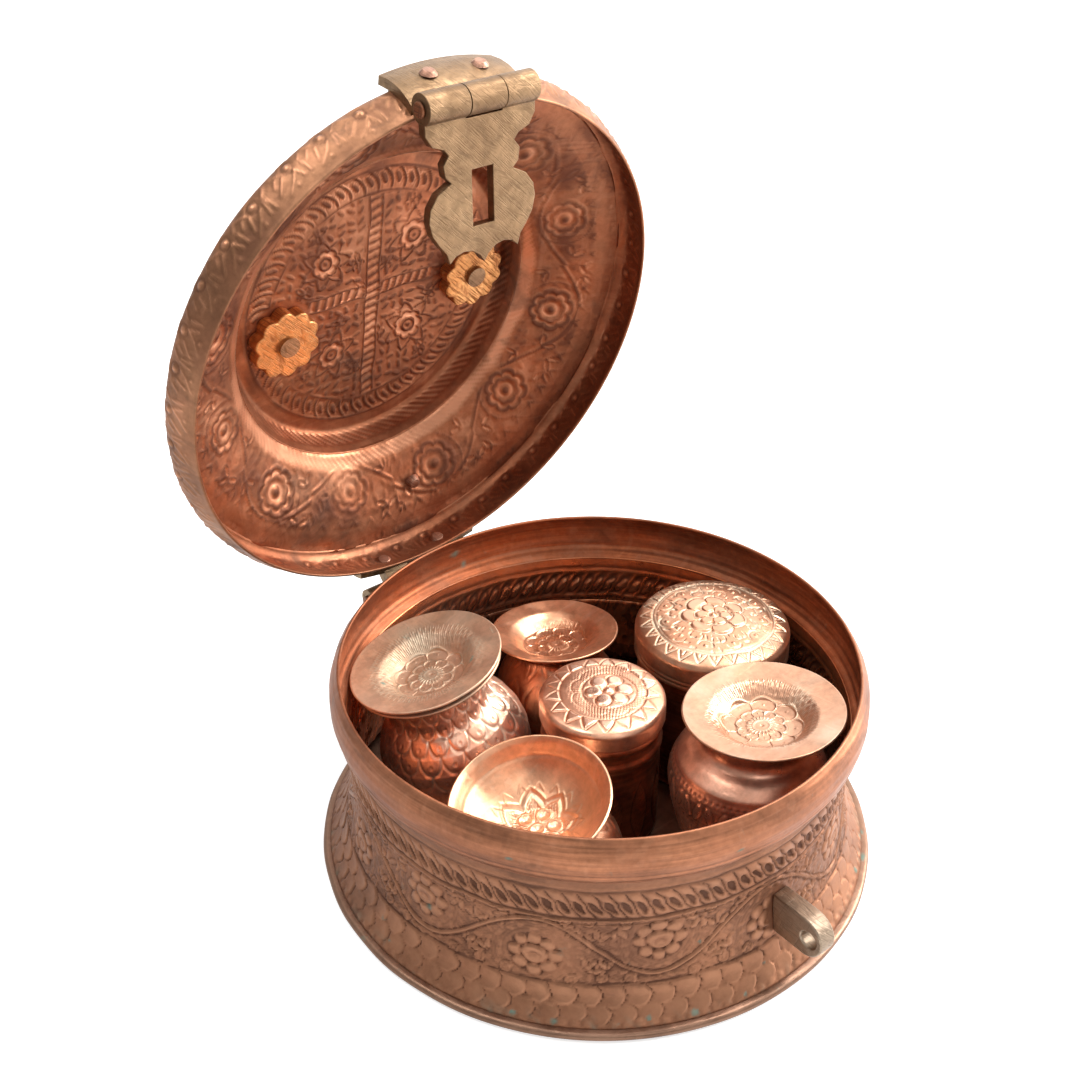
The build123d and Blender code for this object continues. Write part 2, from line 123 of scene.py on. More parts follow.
def which(x, pitch):
    """The number of the pitch that x lies in."""
    return np.floor(x / pitch + 0.5)


def petal_fold(x, y, n, turn=0.0):
    """The plane folded into one of n sectors, with the sector's middle along +x."""
    a = cell(np.arctan2(y, x) - turn, TAU / n)
    r = np.hypot(x, y)
    return r * np.cos(a), r * np.sin(a)


def lobed(x, y, low, high, n, turn=0.0):
    """Distance to an outline of n round lobes between the radii low and high."""
    a = np.arctan2(y, x) - turn
    return np.hypot(x, y) - (low + (high - low) * np.abs(np.cos(n * a / 2)) ** 0.6)


def pointed(x, y, low, high, n, turn=0.0):
    """Distance to an outline of n straight points between the radii low and high."""
    a = np.arctan2(y, x) - turn
    saw = 2 * np.abs(np.mod(a * n / TAU, 1) - 0.5)
    return (np.hypot(x, y) - (low + (high - low) * saw)) * 0.6


def uneven(x, y, z, size, seed):
    """Hand-made unevenness: six sine waves in seeded directions, about -1 to 1."""
    rng = np.random.default_rng(seed)
    total = 0.0
    for _ in range(6):
        k = rng.normal(size=3)
        k = k / np.linalg.norm(k) * TAU / (size * rng.uniform(0.7, 1.5))
        total = total + np.sin(x * k[0] + y * k[1] + z * k[2] + rng.uniform(0, 6.28))
    return total / 3.5


def sown(x, y, pitch, seed, long=1.3, wide=0.5):
    """Distance to small leaf marks, one in each square of a grid, each with its own place and slant."""
    i = np.floor(x / pitch)
    j = np.floor(y / pitch)
    a = np.mod(np.sin(i * 12.99 + j * 78.23 + seed) * 437.6, 1)
    b = np.mod(np.sin(i * 39.35 + j * 11.14 + seed) * 953.1, 1)
    u = x - (i + 0.35 + 0.3 * a) * pitch
    v = y - (j + 0.35 + 0.3 * b) * pitch
    return oval(*turned(u, v, 6.28 * (a + b)), long, wide)


# ---- profiles, places and shells ------------------------------------------------


def traced(points, soft=0.7, step=0.2):
    """A profile as dense arrays (radius, height, length along, normal), its corners eased by a
    running Gaussian average of width soft."""
    p = np.array(points, float)
    s = np.r_[0, np.cumsum(np.hypot(*np.diff(p, axis=0).T))]
    n = max(int(s[-1] / step), 8)
    t = np.linspace(0, s[-1], n + 1)
    r = np.interp(t, s, p[:, 0])
    z = np.interp(t, s, p[:, 1])
    half = min(int(3 * soft / step), n - 1)
    w = np.exp(-0.5 * (np.arange(-half, half + 1) * step / soft) ** 2)
    w = w / w.sum()
    for v in (r, z):
        wide = np.r_[2 * v[0] - v[half:0:-1], v, 2 * v[-1] - v[-2:-half - 2:-1]]
        v[:] = np.convolve(wide, w, "valid")
    dr = np.gradient(r)
    dz = np.gradient(z)
    length = np.hypot(dr, dz) + 1e-9
    along = np.r_[0, np.cumsum(np.hypot(np.diff(r), np.diff(z)))]
    return np.maximum(r, 0), z, along, dz / length, -dr / length


def rows(line, step, start, end):
    """Places along a profile, about a step apart, from one share of its length to another."""
    total = line[2][-1]
    n = max(int(round((end - start) * total / step)), 1)
    return np.linspace(start * total, end * total, n + 1)


def lid_place(p):
    """The shut lid's points turned back about the hinge to where the lid leans."""
    y, z = turned(p[:, 1] - HINGE_Y, p[:, 2] + LID_Z - HINGE_Z, math.radians(LID_OPEN))
    return np.c_[p[:, 0], HINGE_Y + y, HINGE_Z + z]


def unmoved(p):
    """The drum's points stay where they are."""
    return p


def tilted(tilt, azimuth):
    """The matrix that leans a piece by tilt towards azimuth, in degrees."""
    a = math.radians(azimuth)
    return np.array(Matrix.Rotation(math.radians(tilt), 3, (-math.sin(a), math.cos(a), 0)))


def leaning(profile, x, y, tilt=0.0, azimuth=0.0):
    """Where a vessel stands: leaned by tilt towards azimuth, its lowest point on the floor."""
    turn = tilted(tilt, azimuth)
    th = np.linspace(0, TAU, 120)
    r, z = np.array(profile).T
    ring = np.stack([np.outer(r, np.cos(th)), np.outer(r, np.sin(th)), np.outer(z, np.ones(len(th)))], -1)
    low = (ring.reshape(-1, 3) @ turn.T)[:, 2].min()
    return lambda p: p @ turn.T + np.array([x, y, FLOOR - low])


def askew(p):
    """Where the wide dish lies on the right pot, tipped a little towards the front left."""
    return p @ tilted(4.5, 104).T + np.array([30.2, -50.4, 61.2])


def placed(name, data):
    """A new object with this data in the scene."""
    ob = bpy.data.objects.new(name, data)
    bpy.context.scene.collection.objects.link(ob)
    return ob


def smooth(mesh):
    """Every face shaded smooth."""
    mesh.polygons.foreach_set("use_smooth", np.ones(len(mesh.polygons), bool))


def ridden(ob, body, stands_for):
    """An object that rides on a body, in place of a CAD node."""
    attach(ob, body)
    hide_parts(stands_for)


def woven(index, wrap=False, over=False):
    """Faces between neighbouring rings of numbered points, and the numbers in use. A face at a pole
    is a triangle, with -1 in its last place."""
    b = np.roll(index, -1, 1)
    quads = np.stack([index, b, np.roll(b, -1, 0), np.roll(index, -1, 0)], -1)
    quads = (quads if wrap else quads[:-1]).reshape(-1, 4)
    if over:
        quads = quads[:, [1, 0, 3, 2]]
    used = np.unique(index)
    renumber = np.zeros(index.size, int)
    renumber[used] = np.arange(len(used))
    quads = renumber[quads]
    low = quads[:, 0] == quads[:, 1]
    high = quads[:, 2] == quads[:, 3]
    quads[low] = np.c_[quads[low][:, [0, 2, 3]], np.full(low.sum(), -1)]
    quads[high] = np.c_[quads[high][:, [0, 1, 2]], np.full(high.sum(), -1)]
    return quads, used


def built(name, own, place, faces, relief, facing, bloom, metal):
    """A mesh object from arrays: its points as they are before their place is applied, in
    millimetres, and the values that its metal reads at each point."""
    mesh = bpy.data.meshes.new(name)
    mesh.vertices.add(len(own))
    mesh.vertices.foreach_set("co", (place(own) * MM).astype(np.float32).ravel())
    flat = faces.ravel()
    flat = flat[flat >= 0]
    mesh.loops.add(len(flat))
    mesh.loops.foreach_set("vertex_index", flat.astype(np.int32))
    mesh.polygons.add(len(faces))
    starts = np.r_[0, np.cumsum((faces >= 0).sum(1))[:-1]]
    mesh.polygons.foreach_set("loop_start", starts.astype(np.int32))
    mesh.update(calc_edges=True)
    mesh.validate()
    values = {"relief": relief, "facing": facing, "bloom": bloom, "own": own * MM}
    for key, value in values.items():
        vector = value.ndim == 2
        layer = mesh.attributes.new(key, "FLOAT_VECTOR" if vector else "FLOAT", "POINT")
        value = np.ascontiguousarray(value, np.float32).ravel()
        layer.data.foreach_set("vector" if vector else "value", value)
    smooth(mesh)
    mesh.materials.append(METALS[metal])
    return placed(name, mesh)


def shell(name, stands_for, body, metal, line, around, steps, relief, place=unmoved, wall=SHEET, lift=0.0,
          tone=None, lip=0.2, cap=False, both=False, back=1.0, share=(0, 1), slot=None):
    """A chased sheet of metal turned about Z: points (r, z) of the profile moved along its normal
    by the relief, outside and, less the wall's thickness, inside, joined over a rounded lip. steps
    are the rows' spacings outside and inside, and share the part of the profile that is used. A
    cap's profile runs down from its pole, so its normal and its faces are turned over. With both,
    the metal's relief is turned over inside, and back scales the relief of the outside."""
    radius, height, along, *normal = line
    outer = rows(line, steps[0], *share)
    inner = rows(line, steps[1], *share)
    hand = -1 if cap else 1
    rim = np.array([0.18, 0.5, 0.82])
    s = np.r_[outer, [outer[-1]] * 3, inner[::-1]]
    side = np.r_[np.zeros(len(outer)), rim, np.ones(len(inner))]
    push = np.r_[np.zeros(len(outer)), np.sin(rim * np.pi) * lip, np.zeros(len(inner))]
    open_ring = radius[0] > 0.5
    if open_ring:
        s = np.r_[s, [inner[0]] * 2]
        side = np.r_[side, [0.7, 0.3]]
        push = np.r_[push, [-lip, -lip]]
    th = TAU * np.arange(around) / around
    r, z, nr, nz = (np.interp(s, along, v)[:, None] for v in (radius, height, *normal))
    side = side[:, None]
    blank = np.zeros((len(s), around))
    d = relief(th + blank, s[:, None] + blank, r + blank, z + blank, r * np.cos(th), r * np.sin(th))
    d = d * (back + (1 - back) * side)
    off = hand * (d - side * wall)
    index = np.arange(blank.size).reshape(blank.shape)
    pole = (r[:, 0] < 1e-6) & (not open_ring)
    index[pole] = index[pole][:, :1]
    r = np.maximum(r + nr * off - nz * push[:, None], 0)
    z = z + nz * off + nr * push[:, None]
    r[pole] = 0
    z[pole] = z[pole][:, :1]
    faces, used = woven(index, open_ring, cap)
    own = np.stack([r * np.cos(th), r * np.sin(th), z + lift], -1).reshape(-1, 3)[used]
    facing = (side + blank).ravel()[used]
    bloom = tone(own, facing) if tone else np.zeros(len(own))
    raised = (d * (1 - 2 * side) if both else d).ravel()[used]
    ob = built(name, own, place, faces, raised, facing, bloom, metal)
    ridden(ob, body, stands_for)


# ---- chased patterns ------------------------------------------------------------
# Each gives heights in millimetres out of the metal, from the angle th, the length s along the
# profile, the radius r and height z, and the place across the axis.

WALL_LINE = [(97.1, 3.2), (94.6, 6.5), (91.4, 12.0), (89.2, 19.0), (87.9, 28.0), (87.3, 38.0), (87.3, 48.0),
             (87.7, 56.0), (88.2, 59.4)]
BASE_LINE = [(0, 0.0), (60, 0.0), (97.6, 0.0), (99.3, 0.35), (99.95, 1.3), (99.75, 2.5), (98.9, 3.1),
             (97.2, 3.2), (60, 3.2), (0, 3.2)]
COLLAR_LINE = [(87.9, 58.6), (88.2, 59.2), (90.1, 60.4), (91.7, 63.5), (92.5, 67.5), (92.3, 71.5),
               (91.1, 75.0), (89.2, 77.6)]


def big_flower(x, y, size):
    """A chased flower: an oval boss with a crescent punched in it, a ring, and eight joined petals,
    each with an eye and a line between it and the next."""
    u = x / size
    v = y / size
    px, py = petal_fold(u, v, 8)
    petal = oval(px - 0.74, py, 0.29, 0.285)
    h = 0.48 * inside(petal, 0.15) - 0.42 * dome(petal - 0.03, 0.09)
    h += 0.16 * inside(oval(px - 0.76, py, 0.12, 0.10), 0.1)
    h -= 0.30 * dome(py - 0.29, 0.06) * inside(petal - 0.1, 0.1)
    boss = oval(u, v, 0.48, 0.42)
    h *= 1 - inside(boss - 0.05, 0.08)
    h += 0.66 * inside(boss, 0.18) - 0.45 * dome(boss - 0.07, 0.09)
    h -= 0.50 * inside(oval(u - 0.03, v + 0.07, 0.27, 0.19), 0.12)
    return h + 0.42 * inside(oval(u - 0.05, v + 0.12, 0.17, 0.09), 0.1)


def sprig(x, y):
    """Three narrow leaves fanned from a point, each with a rib."""
    h = 0.0
    for turn in (-0.9, 0.0, 0.9):
        u, v = turned(x, y, turn)
        leaf = oval(u - 3.0, v, 2.4, 0.95)
        h += 0.38 * inside(leaf, 0.5) - 0.28 * dome(leaf - 0.1, 0.45)
        h -= 0.18 * dome(v, 0.3) * inside(leaf, 0.3)
    return h


def drum_relief(th, s, r, z, a, b):
    """The drum's bands: slanted leaf cells, flowers on a wavy vine, two rows of scallops, beads."""
    x = th * WALL_R
    # the bands lie by height, and by the length along the profile where the foot flares
    q = np.where(z < 19, np.interp(s, [0, 4.14, 10.5, 17.8], [1.2, 5.34, 11.7, 19.0]), z)
    wob = uneven(a, b, z, 16, 3)
    hand = uneven(a, b, 1.3 * z, 5.5, 8)
    q += 0.25 * wob + 0.22 * hand
    x = x + 0.35 * uneven(a, b, z, 21, 4) + 0.25 * hand
    h = 0.12 * uneven(a, b, z, 30, 5)
    # leaf cells: slanted petals that overlap like a rope, each with an oval dent
    pitch = TAU * WALL_R / LEAF_CELLS
    y = q - 47.6
    band = between(q, 42.6, 52.8, 1.0)
    bow = x + 0.34 * y + 0.055 * y * np.abs(y) + 0.35 * wob
    cx = cell(bow, pitch)
    deep = 0.75 + 0.35 * uneven(x, q, 0 * q, 24, 6)
    leaf = 0.55 * (1 - (2 * cx / pitch) ** 2) * np.sqrt(np.clip(1 - (y / 5.4) ** 2, 0, 1))
    leaf -= 1.25 * deep * inside(oval(cx + 0.2 + 0.12 * y, y + 0.6, 1.25, 2.7), 0.7)
    leaf -= 0.45 * dome(0.5 * pitch - np.abs(cx), 0.5)
    h += band * leaf
    h += ribs(q, (-0.45, 15.9, 0.6), (0.34, 40.9, 0.6), (-0.5, 42.0, 0.7), (-0.30, 53.6, 0.7),
              (0.20, 55.0, 0.9))
    # flowers and vine
    pitch = TAU * WALL_R / WALL_FLOWERS
    run = x - math.radians(FIRST_FLOWER) * WALL_R
    fx = cell(run, pitch)
    high = np.mod(which(run, pitch), 2)
    fy = q - (25.2 + 6.6 * high)
    band = between(q, 15.6, 41.2, 1.2)
    flower = oval(fx, fy, 8.6, 7.9)
    free = 1 - inside(flower - 0.8, 0.8)
    wave = np.pi * run / pitch
    dv = (q - 29.2 - 10.4 * np.cos(wave) - 0.5 * wob) / np.hypot(1.0, 10.4 * np.pi / pitch * np.sin(wave))
    stem = 0.55 * dome(dv, 0.75) - 0.4 * dome(np.abs(dv) - 1.05, 0.5)
    h += band * (inside(flower - 0.2, 1.2) * big_flower(fx + 0.5 * wob, fy * 1.05, 8.5) + free * stem)
    off = free * inside(0.9 - np.abs(dv), 0.5) * band
    for dx, dy, turn in ((0.34, 9.0, -2.2), (0.40, -8.0, 0.8), (-0.36, 8.6, -0.7), (-0.40, -8.4, 2.3),
                         (0.5, 3.0, 1.6), (0.5, -4.4, -1.5)):
        h += off * 0.95 * sprig(*turned(cell(run, pitch, -dx), q - 29.2 - dy, turn))
    for dx, dy in ((0.24, 11.4), (-0.22, -11.6), (0.30, -12.0), (-0.27, 11.8), (0.43, 11.2), (-0.45, -11.0)):
        curl = np.hypot(cell(run, pitch, -dx), q - 29.2 - dy)
        h += off * ribs(curl, (0.34, 1.5, 0.5), (0.4, 0, 0.8), (-0.25, 2.2, 0.4))
    ground = off * inside(1.2 - flower, 0.8)
    h -= 0.13 * ground * (0.5 + 0.5 * np.cos(TAU * (flower + 0.3 * wob) / 1.35)) * inside(flower - 5.5, 2)
    h -= 0.13 * ground * (0.5 + 0.5 * np.cos(TAU * (x * 0.6 + q) / 1.5)) * inside(5.5 - flower, 2)
    h += 0.26 * ground * inside(sown(x, q + 0.15 * x, 3.6, 5, 1.35, 0.62), 0.7)
    # scallops: coins laid over one another along the band, their round right edges showing
    pitch = TAU * WALL_R / COINS
    for low, top, shift, rise in ((8.7, 15.4, 0.0, 0.86), (3.5, 8.9, 0.5, 0.68)):
        half = 0.5 * (top - low)
        y = q - low - half + 0.2 * wob
        lens = np.sqrt(np.clip(1 - (y / (half + 0.5)) ** 2, 0, 1))
        t = cell(x + 0.4 * wob - 1.25 * half * lens, pitch, shift) / pitch + 0.5
        coin = (0.30 + 0.70 * t ** 1.5) * inside(t - 0.93, 0.12)
        worn = 0.8 + 0.3 * uneven(x, q, 0 * q, 30, 7 + int(low))
        h += rise * worn * lens * coin * between(q, low - 0.3, top + 0.2, 0.6)
        h -= 0.50 * rise * dome(t - 0.98, 0.08) * lens
    cx = cell(x, TAU * WALL_R / BEADS)
    h += 0.3 * inside(oval(cx, q - 2.6, 1.3, 1.0), 0.6)
    h *= inside(0.6 - s, 1.2) * inside(s - 58.2, 1.2)
    # the staple sits on plain metal
    flat = inside(np.hypot((np.mod(th, TAU) - 1.5 * np.pi) * WALL_R - 1.5, (z - 25.9) / 1.6) - 6, 3)
    return h * (1 - flat)


def collar_relief(th, s, r, z, x, y):
    """The plain collar: slow dents from hand work, and turned lines at its roll and its rim."""
    h = 0.15 * uneven(x, y, z * 2, 26, 11) + 0.05 * uneven(x, y, z * 3, 9, 12)
    h += ribs(z, (-0.28, 61.2, 0.5), (-0.16, 64.4, 0.7), (0.16, 62.8, 0.9), (-0.10, 74.6, 0.6))
    return h * inside(0.4 - s, 1) * inside(s - 19.5, 1.5)


# ---- the lid ----------------------------------------------------------------------
SKIRT_LINE = [(95.0, 0.0), (96.4, 3.2), (97.6, 6.6), (98.3, 9.8), (98.2, 12.4), (96.6, 14.4), (95.2, 15.0)]
SLOPE_LINE = [(96.0, 14.7), (94.0, 15.4), (89.2, 16.9), (83.0, 19.8), (76.5, 23.3), (70.0, 26.9),
              (65.0, 29.4), (62.2, 31.4), (61.4, 33.2)]
CROWN_LINE = [(0, 42.4), (30, 42.4), (50, 42.4), (57.8, 42.4), (58.9, 41.2), (59.6, 39.2), (60.6, 35.6),
              (61.9, 32.2)]


def outward(points, hand=1):
    """The lid's inner line moved out by its wall, since a shell is measured from its outside."""
    r, z, _, nr, nz = traced(points, 0.5)
    return list(zip(np.maximum(r + hand * SHEET * nr, 0), z + hand * SHEET * nz))


def punched_skirt(th, s, r, z, a, b):
    """Dots and slanted dashes punched round the skirt, a different slant in each space."""
    x = th * SKIRT_R
    pitch = TAU * SKIRT_R / SKIRT_GROUPS
    k = which(x, pitch)
    cx = cell(x, pitch) + 0.7 * np.sin(k * 2.4)
    y = s + 0.5 * np.sin(k * 1.7)
    ring = np.hypot(cx - 0.4, y - 11.0)
    h = 0.80 * dome(ring, 1.6) - 0.34 * dome(ring - 2.0, 0.7)
    tip = 1.4 * np.sin(k * 3.1)
    dashes = ((-5.4 + tip, 5.2, -2.6, 9.2, 0.46), (3.2, 4.8, 2.8 + tip, 9.2, 0.46),
              (4.6, 10.4, 7.0, 13.2, 0.40), (-6.4, 13.0, -3.2, 11.4, 0.40), (5.6, 4.6, 5.0, 9.0, 0.42),
              (-4.2, 3.0, -1.0, 5.4, 0.38), (-0.6, 5.6, 1.6, 8.4, 0.36), (-2.0, 13.9, 1.6, 14.2, 0.34),
              (-6.6, 8.2, -4.8, 10.6, 0.36))
    for *ends, high in dashes:
        h += high * dome(stroke(cx, y, *ends), 0.75)
    h += 0.50 * dome(np.hypot(cx + 0.4, y - 3.6), 1.0)
    h = 0.66 * h * between(s, 2.0, 15.2, 1.5)
    return h + 0.16 * uneven(a, b, z, 24, 21) * inside(1 - s, 2)


def rosette(x, y, size, n, turn):
    """A worn flower as seen from inside: a button, a wide groove round it, and lobes in soft line."""
    u = x / size
    v = y / size
    r = np.hypot(u, v)
    lob = lobed(u, v, 0.74, 0.96, n, turn)
    inner = lobed(u, v, 0.50, 0.60, n, turn)
    h = -0.58 * dome(lob, 0.20) - 0.34 * dome(inner, 0.15) - 0.72 * dome(r, 0.22)
    h += 0.50 * dome(r - 0.31, 0.16) + 0.36 * inside(lob + 0.16, 0.16) * inside(0.06 - inner, 0.14)
    return h


def slope_relief(th, s, r, z, a, b):
    """The lid's sloping ring: twelve rosettes on a scrolling vine, small sprigs, and curls at the rim."""
    wob = uneven(a, b, z, 19, 31)
    k = np.round((np.degrees(th) - FIRST_ROSETTE) / ROSETTE_TURN)
    mid = np.radians(FIRST_ROSETTE + ROSETTE_TURN * k)
    k = np.mod(k, 360 / ROSETTE_TURN)
    off = 2.2 * np.sin(k * 2.7)
    rad = r + off * 0.6
    fx = (th - mid) * SLOPE_R + 1.4 * np.sin(k * 1.9)
    fy = (rad - 76.2) * 1.14
    size = 9.4 + 0.8 * np.sin(k * 3.3)
    worn = 0.78 + 0.34 * uneven(a, b, z, 46, 36)
    flower = np.hypot(fx, fy) - size
    h = inside(flower, 1.0) * rosette(fx + 0.45 * wob, fy, size, 8, 0.3 + k)
    free = 1 - inside(flower - 0.9, 0.8)
    # vine: a wave that passes outside one flower and inside the next
    wave = 6 * (th - math.radians(FIRST_ROSETTE))
    dv = (rad + 0.5 * wob - 76.5 - 9.0 * np.cos(wave)) / np.hypot(1.0, 54.0 / SLOPE_R * np.sin(wave))
    lines = -0.62 * dome(dv, 0.75) + 0.25 * dome(np.abs(dv) - 1.3, 0.6)
    arc = np.abs(np.hypot(fx, fy) - size - 2.6)
    lines -= 0.42 * dome(arc, 0.6) * inside(-fx * np.where(np.mod(k, 2) > 0, 1, -1) - 1, 2)
    # sprigs and curls in the spaces
    px = cell((th - math.radians(FIRST_ROSETTE + 15)) * SLOPE_R, math.radians(ROSETTE_TURN) * SLOPE_R)
    for dx, dy, turn in ((0, 6.5, 1.2), (3.2, -4.5, -0.9), (-4.0, 2.0, 2.6), (5.0, 8.2, 0.3)):
        for leaf_turn in (turn - 0.7, turn + 0.7):
            u, v = turned(px - dx, rad - 76.2 - dy, leaf_turn)
            leaf = oval(u - 2.6, v, 2.3, 1.05)
            lines += 0.3 * inside(leaf + 0.4, 0.4) - 0.45 * dome(leaf, 0.55)
    marks = sown(th * SLOPE_R, rad + 0.3 * wob, 4.6, 9, 1.8, 0.8)
    lines = 0.85 * lines - 0.22 * inside(marks, 1.0) * inside(1.6 - np.abs(dv), 1.0)
    lines *= between(r, 67.5, 87.5, 2.5)
    # a zigzag and curls near the rim
    pitch = TAU * RIM_R / ZIGZAGS
    cx = cell(th * RIM_R, pitch)
    zig = (r - 88.2 - 0.5 * wob - (np.abs(cx) - 2.0) * 1.3) * 0.65
    lines -= 0.46 * dome(zig, 0.75)
    curl = np.hypot(cell(th * RIM_R, pitch, 0.5), r - 93.4)
    lines -= 0.26 * dome(curl - 1.5, 0.6)
    # a broad swell along the crest: low real relief, and also a painted highlight, since its raised relief
    # brings in the lid's pale rubbed colour all along the crest
    h = 0.72 * (h + free * lines) * worn + 0.60 * dome(r - 64.6, 4.2)
    # short hatching climbs the crest
    rope = cell(th * 64 - 0.9 * (s - 40.0), TAU * 64 / 170)
    h -= 0.16 * dome(rope, 0.7) * between(r, 62.0, 66.8, 1.6)
    h += 0.22 * uneven(a, b, z, 27, 33) + 0.10 * uneven(a, b, z, 9, 34)
    # low relief where the shut lid passes the collar
    h *= 1 - 0.75 * between(r, 87.6, 93.0, 0.8)
    return h * inside(0.5 - s, 1.0) * inside(s - 43.6, 1.5)


def ladder(x, y, half):
    """A band of two lines with slanted rungs, running along x."""
    rung = cell(x + 0.25 * y, 3.4)
    rungs = 0.35 * inside(0.9 - np.abs(rung), 0.5) - 0.5 * dome(rung, 0.6)
    return rungs * inside(np.abs(y) - half + 0.3, 0.4) - 0.5 * dome(np.abs(y) - half, 0.5)


def crown_relief(th, s, r, z, x, y):
    """The lid's flat middle: a ring of seeds in leaf cells, a ladder cross, and a flower with
    triangles in each quarter. The step to it is fluted."""
    wob = uneven(x, y, z, 17, 41)
    flat = inside(r - 55.5, 1.5)
    down = s - 58.8
    rope = cell(th * 60 + 1.2 * down, TAU * 60 / 110)
    h = (0.34 - 0.50 * dome(rope, 1.1)) * between(down, 1.0, 7.0, 1.6)
    # leaf cells
    rb = r + 0.35 * wob
    pitch = TAU * CELLS_R / SEEDS
    yb = rb - CELLS_R
    cx = cell(th * CELLS_R + 0.5 * yb + 1.1 * (yb / 3.6) ** 2, pitch)
    seed = oval(cx, yb, 0.95, 2.2)
    edge = 0.5 * pitch - np.abs(cx)
    cells = 0.35 * dome(edge - 0.9, 0.5) - 0.6 * dome(edge - 0.1, 0.6)
    cells += 0.3 * dome(seed - 0.45, 0.4) - 0.5 * inside(seed + 0.2, 0.6)
    h += cells * between(rb, 44.2, 51.8, 0.8)
    h += ribs(rb, (-0.5, 43.6, 0.5), (-0.5, 52.4, 0.6))
    # cross
    cx = x + 0.4 * wob - 0.2
    cy = y + 0.4 * wob + 3.6
    core = inside(rb - 42.6, 0.8)
    long_arm = inside(np.abs(cx) - 3.4, 0.6)
    short_arm = inside(np.abs(cy) - 3.2, 0.6) * inside(np.abs(x) - 27, 2.0)
    h += core * (long_arm * ladder(cy, cx, 2.7) + (1 - long_arm) * short_arm * ladder(cx, cy, 2.5))
    # quarters
    free = core * (1 - long_arm) * (1 - short_arm)
    marks = inside(sown(x + 0.4 * wob, y, 4.0, 3, 1.75, 0.7), 0.7)
    for qx, qy, turn, size in ((17.4, -22.0, 0.2, 8.2), (18.0, 17.4, 0.9, 8.2), (-16.2, 20.0, 0.5, 7.6),
                               (-20.2, -20.0, 0.0, 7.6)):
        marks = marks * inside(size * 1.15 - np.hypot(x - qx, y - qy), 1.0)
        u = x - qx + 0.3 * wob
        v = y - qy + 0.3 * wob
        ring = np.hypot(u, v)
        star = pointed(u, v, size * 0.78, size * 1.35, 7, turn)
        body = lobed(u, v, size * 0.60, size * 0.76, 7, turn)
        m = -0.6 * dome(star, 0.55) * (1 - inside(body + 0.6, 0.5)) - 0.6 * dome(body, 0.6)
        m -= 0.7 * dome(ring - size * 0.30, 0.65) + 0.55 * dome(ring, size * 0.16)
        m += 0.45 * inside(body + 0.8, 0.6) * (1 - inside(ring - size * 0.38, 0.5))
        h += free * m
        for k in range(3):
            t = turn + 2.3 + 2.1 * k
            lx = u - size * 1.75 * math.cos(t)
            ly = v - size * 1.75 * math.sin(t)
            px, py = petal_fold(lx, ly, 4, t)
            near = inside(np.hypot(lx, ly) - 4.2, 0.5) * inside(4.6 - ring + size * 0.2, 1)
            bud = 0.5 * dome(oval(px - 1.9, py, 1.5, 0.9), 0.5) + 0.4 * dome(np.hypot(lx, ly), 0.6)
            h -= free * bud * near
    h -= 0.42 * free * marks
    h *= 0.86 + 0.3 * uneven(x, y, z, 38, 45)
    h += 0.20 * uneven(x, y, z, 24, 43) * flat + 0.08 * uneven(x, y, z, 7, 44)
    # plain metal under the two washers
    for px in (-38.4, 43.9):
        near = inside(np.hypot(x - px, y - 3.0) - 13.0, 2.0)
        h *= 1 - near
    return h * inside(s - 69.0, 1.0)


# ---- what is chased on the pots, caps and dishes ----------------------------------


def tiles(th, s, r, tall, around, least):
    """Tiles in staggered rows: the height s within its row, the place x within its tile, and the
    tile's width, which follows the radius down to its least."""
    row = np.floor(s / tall)
    wide = np.maximum(r, least)
    width = TAU * wide / around
    return s - row * tall, cell(th * wide, width, np.mod(row, 2) * 0.5), width


def scales(th, s, r, z, a, b):
    """Fish scales over the left pot: rows of round-ended tiles, outlined, each with a dimpled dot."""
    pitch = 6.4
    y, x, width = tiles(th, s, r, pitch, 18, 9)
    d = np.hypot(2 * x / width, (pitch - y) / pitch) - 0.98
    eye = np.hypot(x, y - 3.3)
    h = -0.34 * dome(d, 0.15) + 0.16 * inside(d + 0.15, 0.5) * (y / pitch)
    h += 0.10 * dome(eye - 1.15, 0.6) - 0.32 * dome(eye, 0.7)
    return (h * between(s, 12.0, 84.0, 3.0) + 0.22 * uneven(a, b, z, 24, 51)) * between(s, 1.5, 90.0, 3.0)


def leafy(seed, around, tall):
    """Outlined upright leaves in staggered rows, with a rib and side veins, as on the squat pots."""
    def relief(th, s, r, z, u, v):
        y, x, width = tiles(th, s, r, tall, around, 5)
        y = y / tall - 0.5
        x = x / width
        a = np.abs(x) - 0.40 * np.clip(1 - (2 * np.abs(y)) ** 2.2, 0, 1)
        h = 0.15 * inside(a, 0.12) - 0.3 * dome(a, 0.07) - 0.18 * dome(x, 0.04) * inside(a, 0.1)
        vein = cell(y * tall - np.abs(x) * width * 0.9, 2.6)
        h -= 0.09 * dome(vein, 0.5) * inside(a + 0.05, 0.1)
        return (h * between(s, 14, 70, 2) + 0.28 * uneven(u, v, z, 22, seed)) * between(s, 1.5, 76.0, 3.0)
    return relief


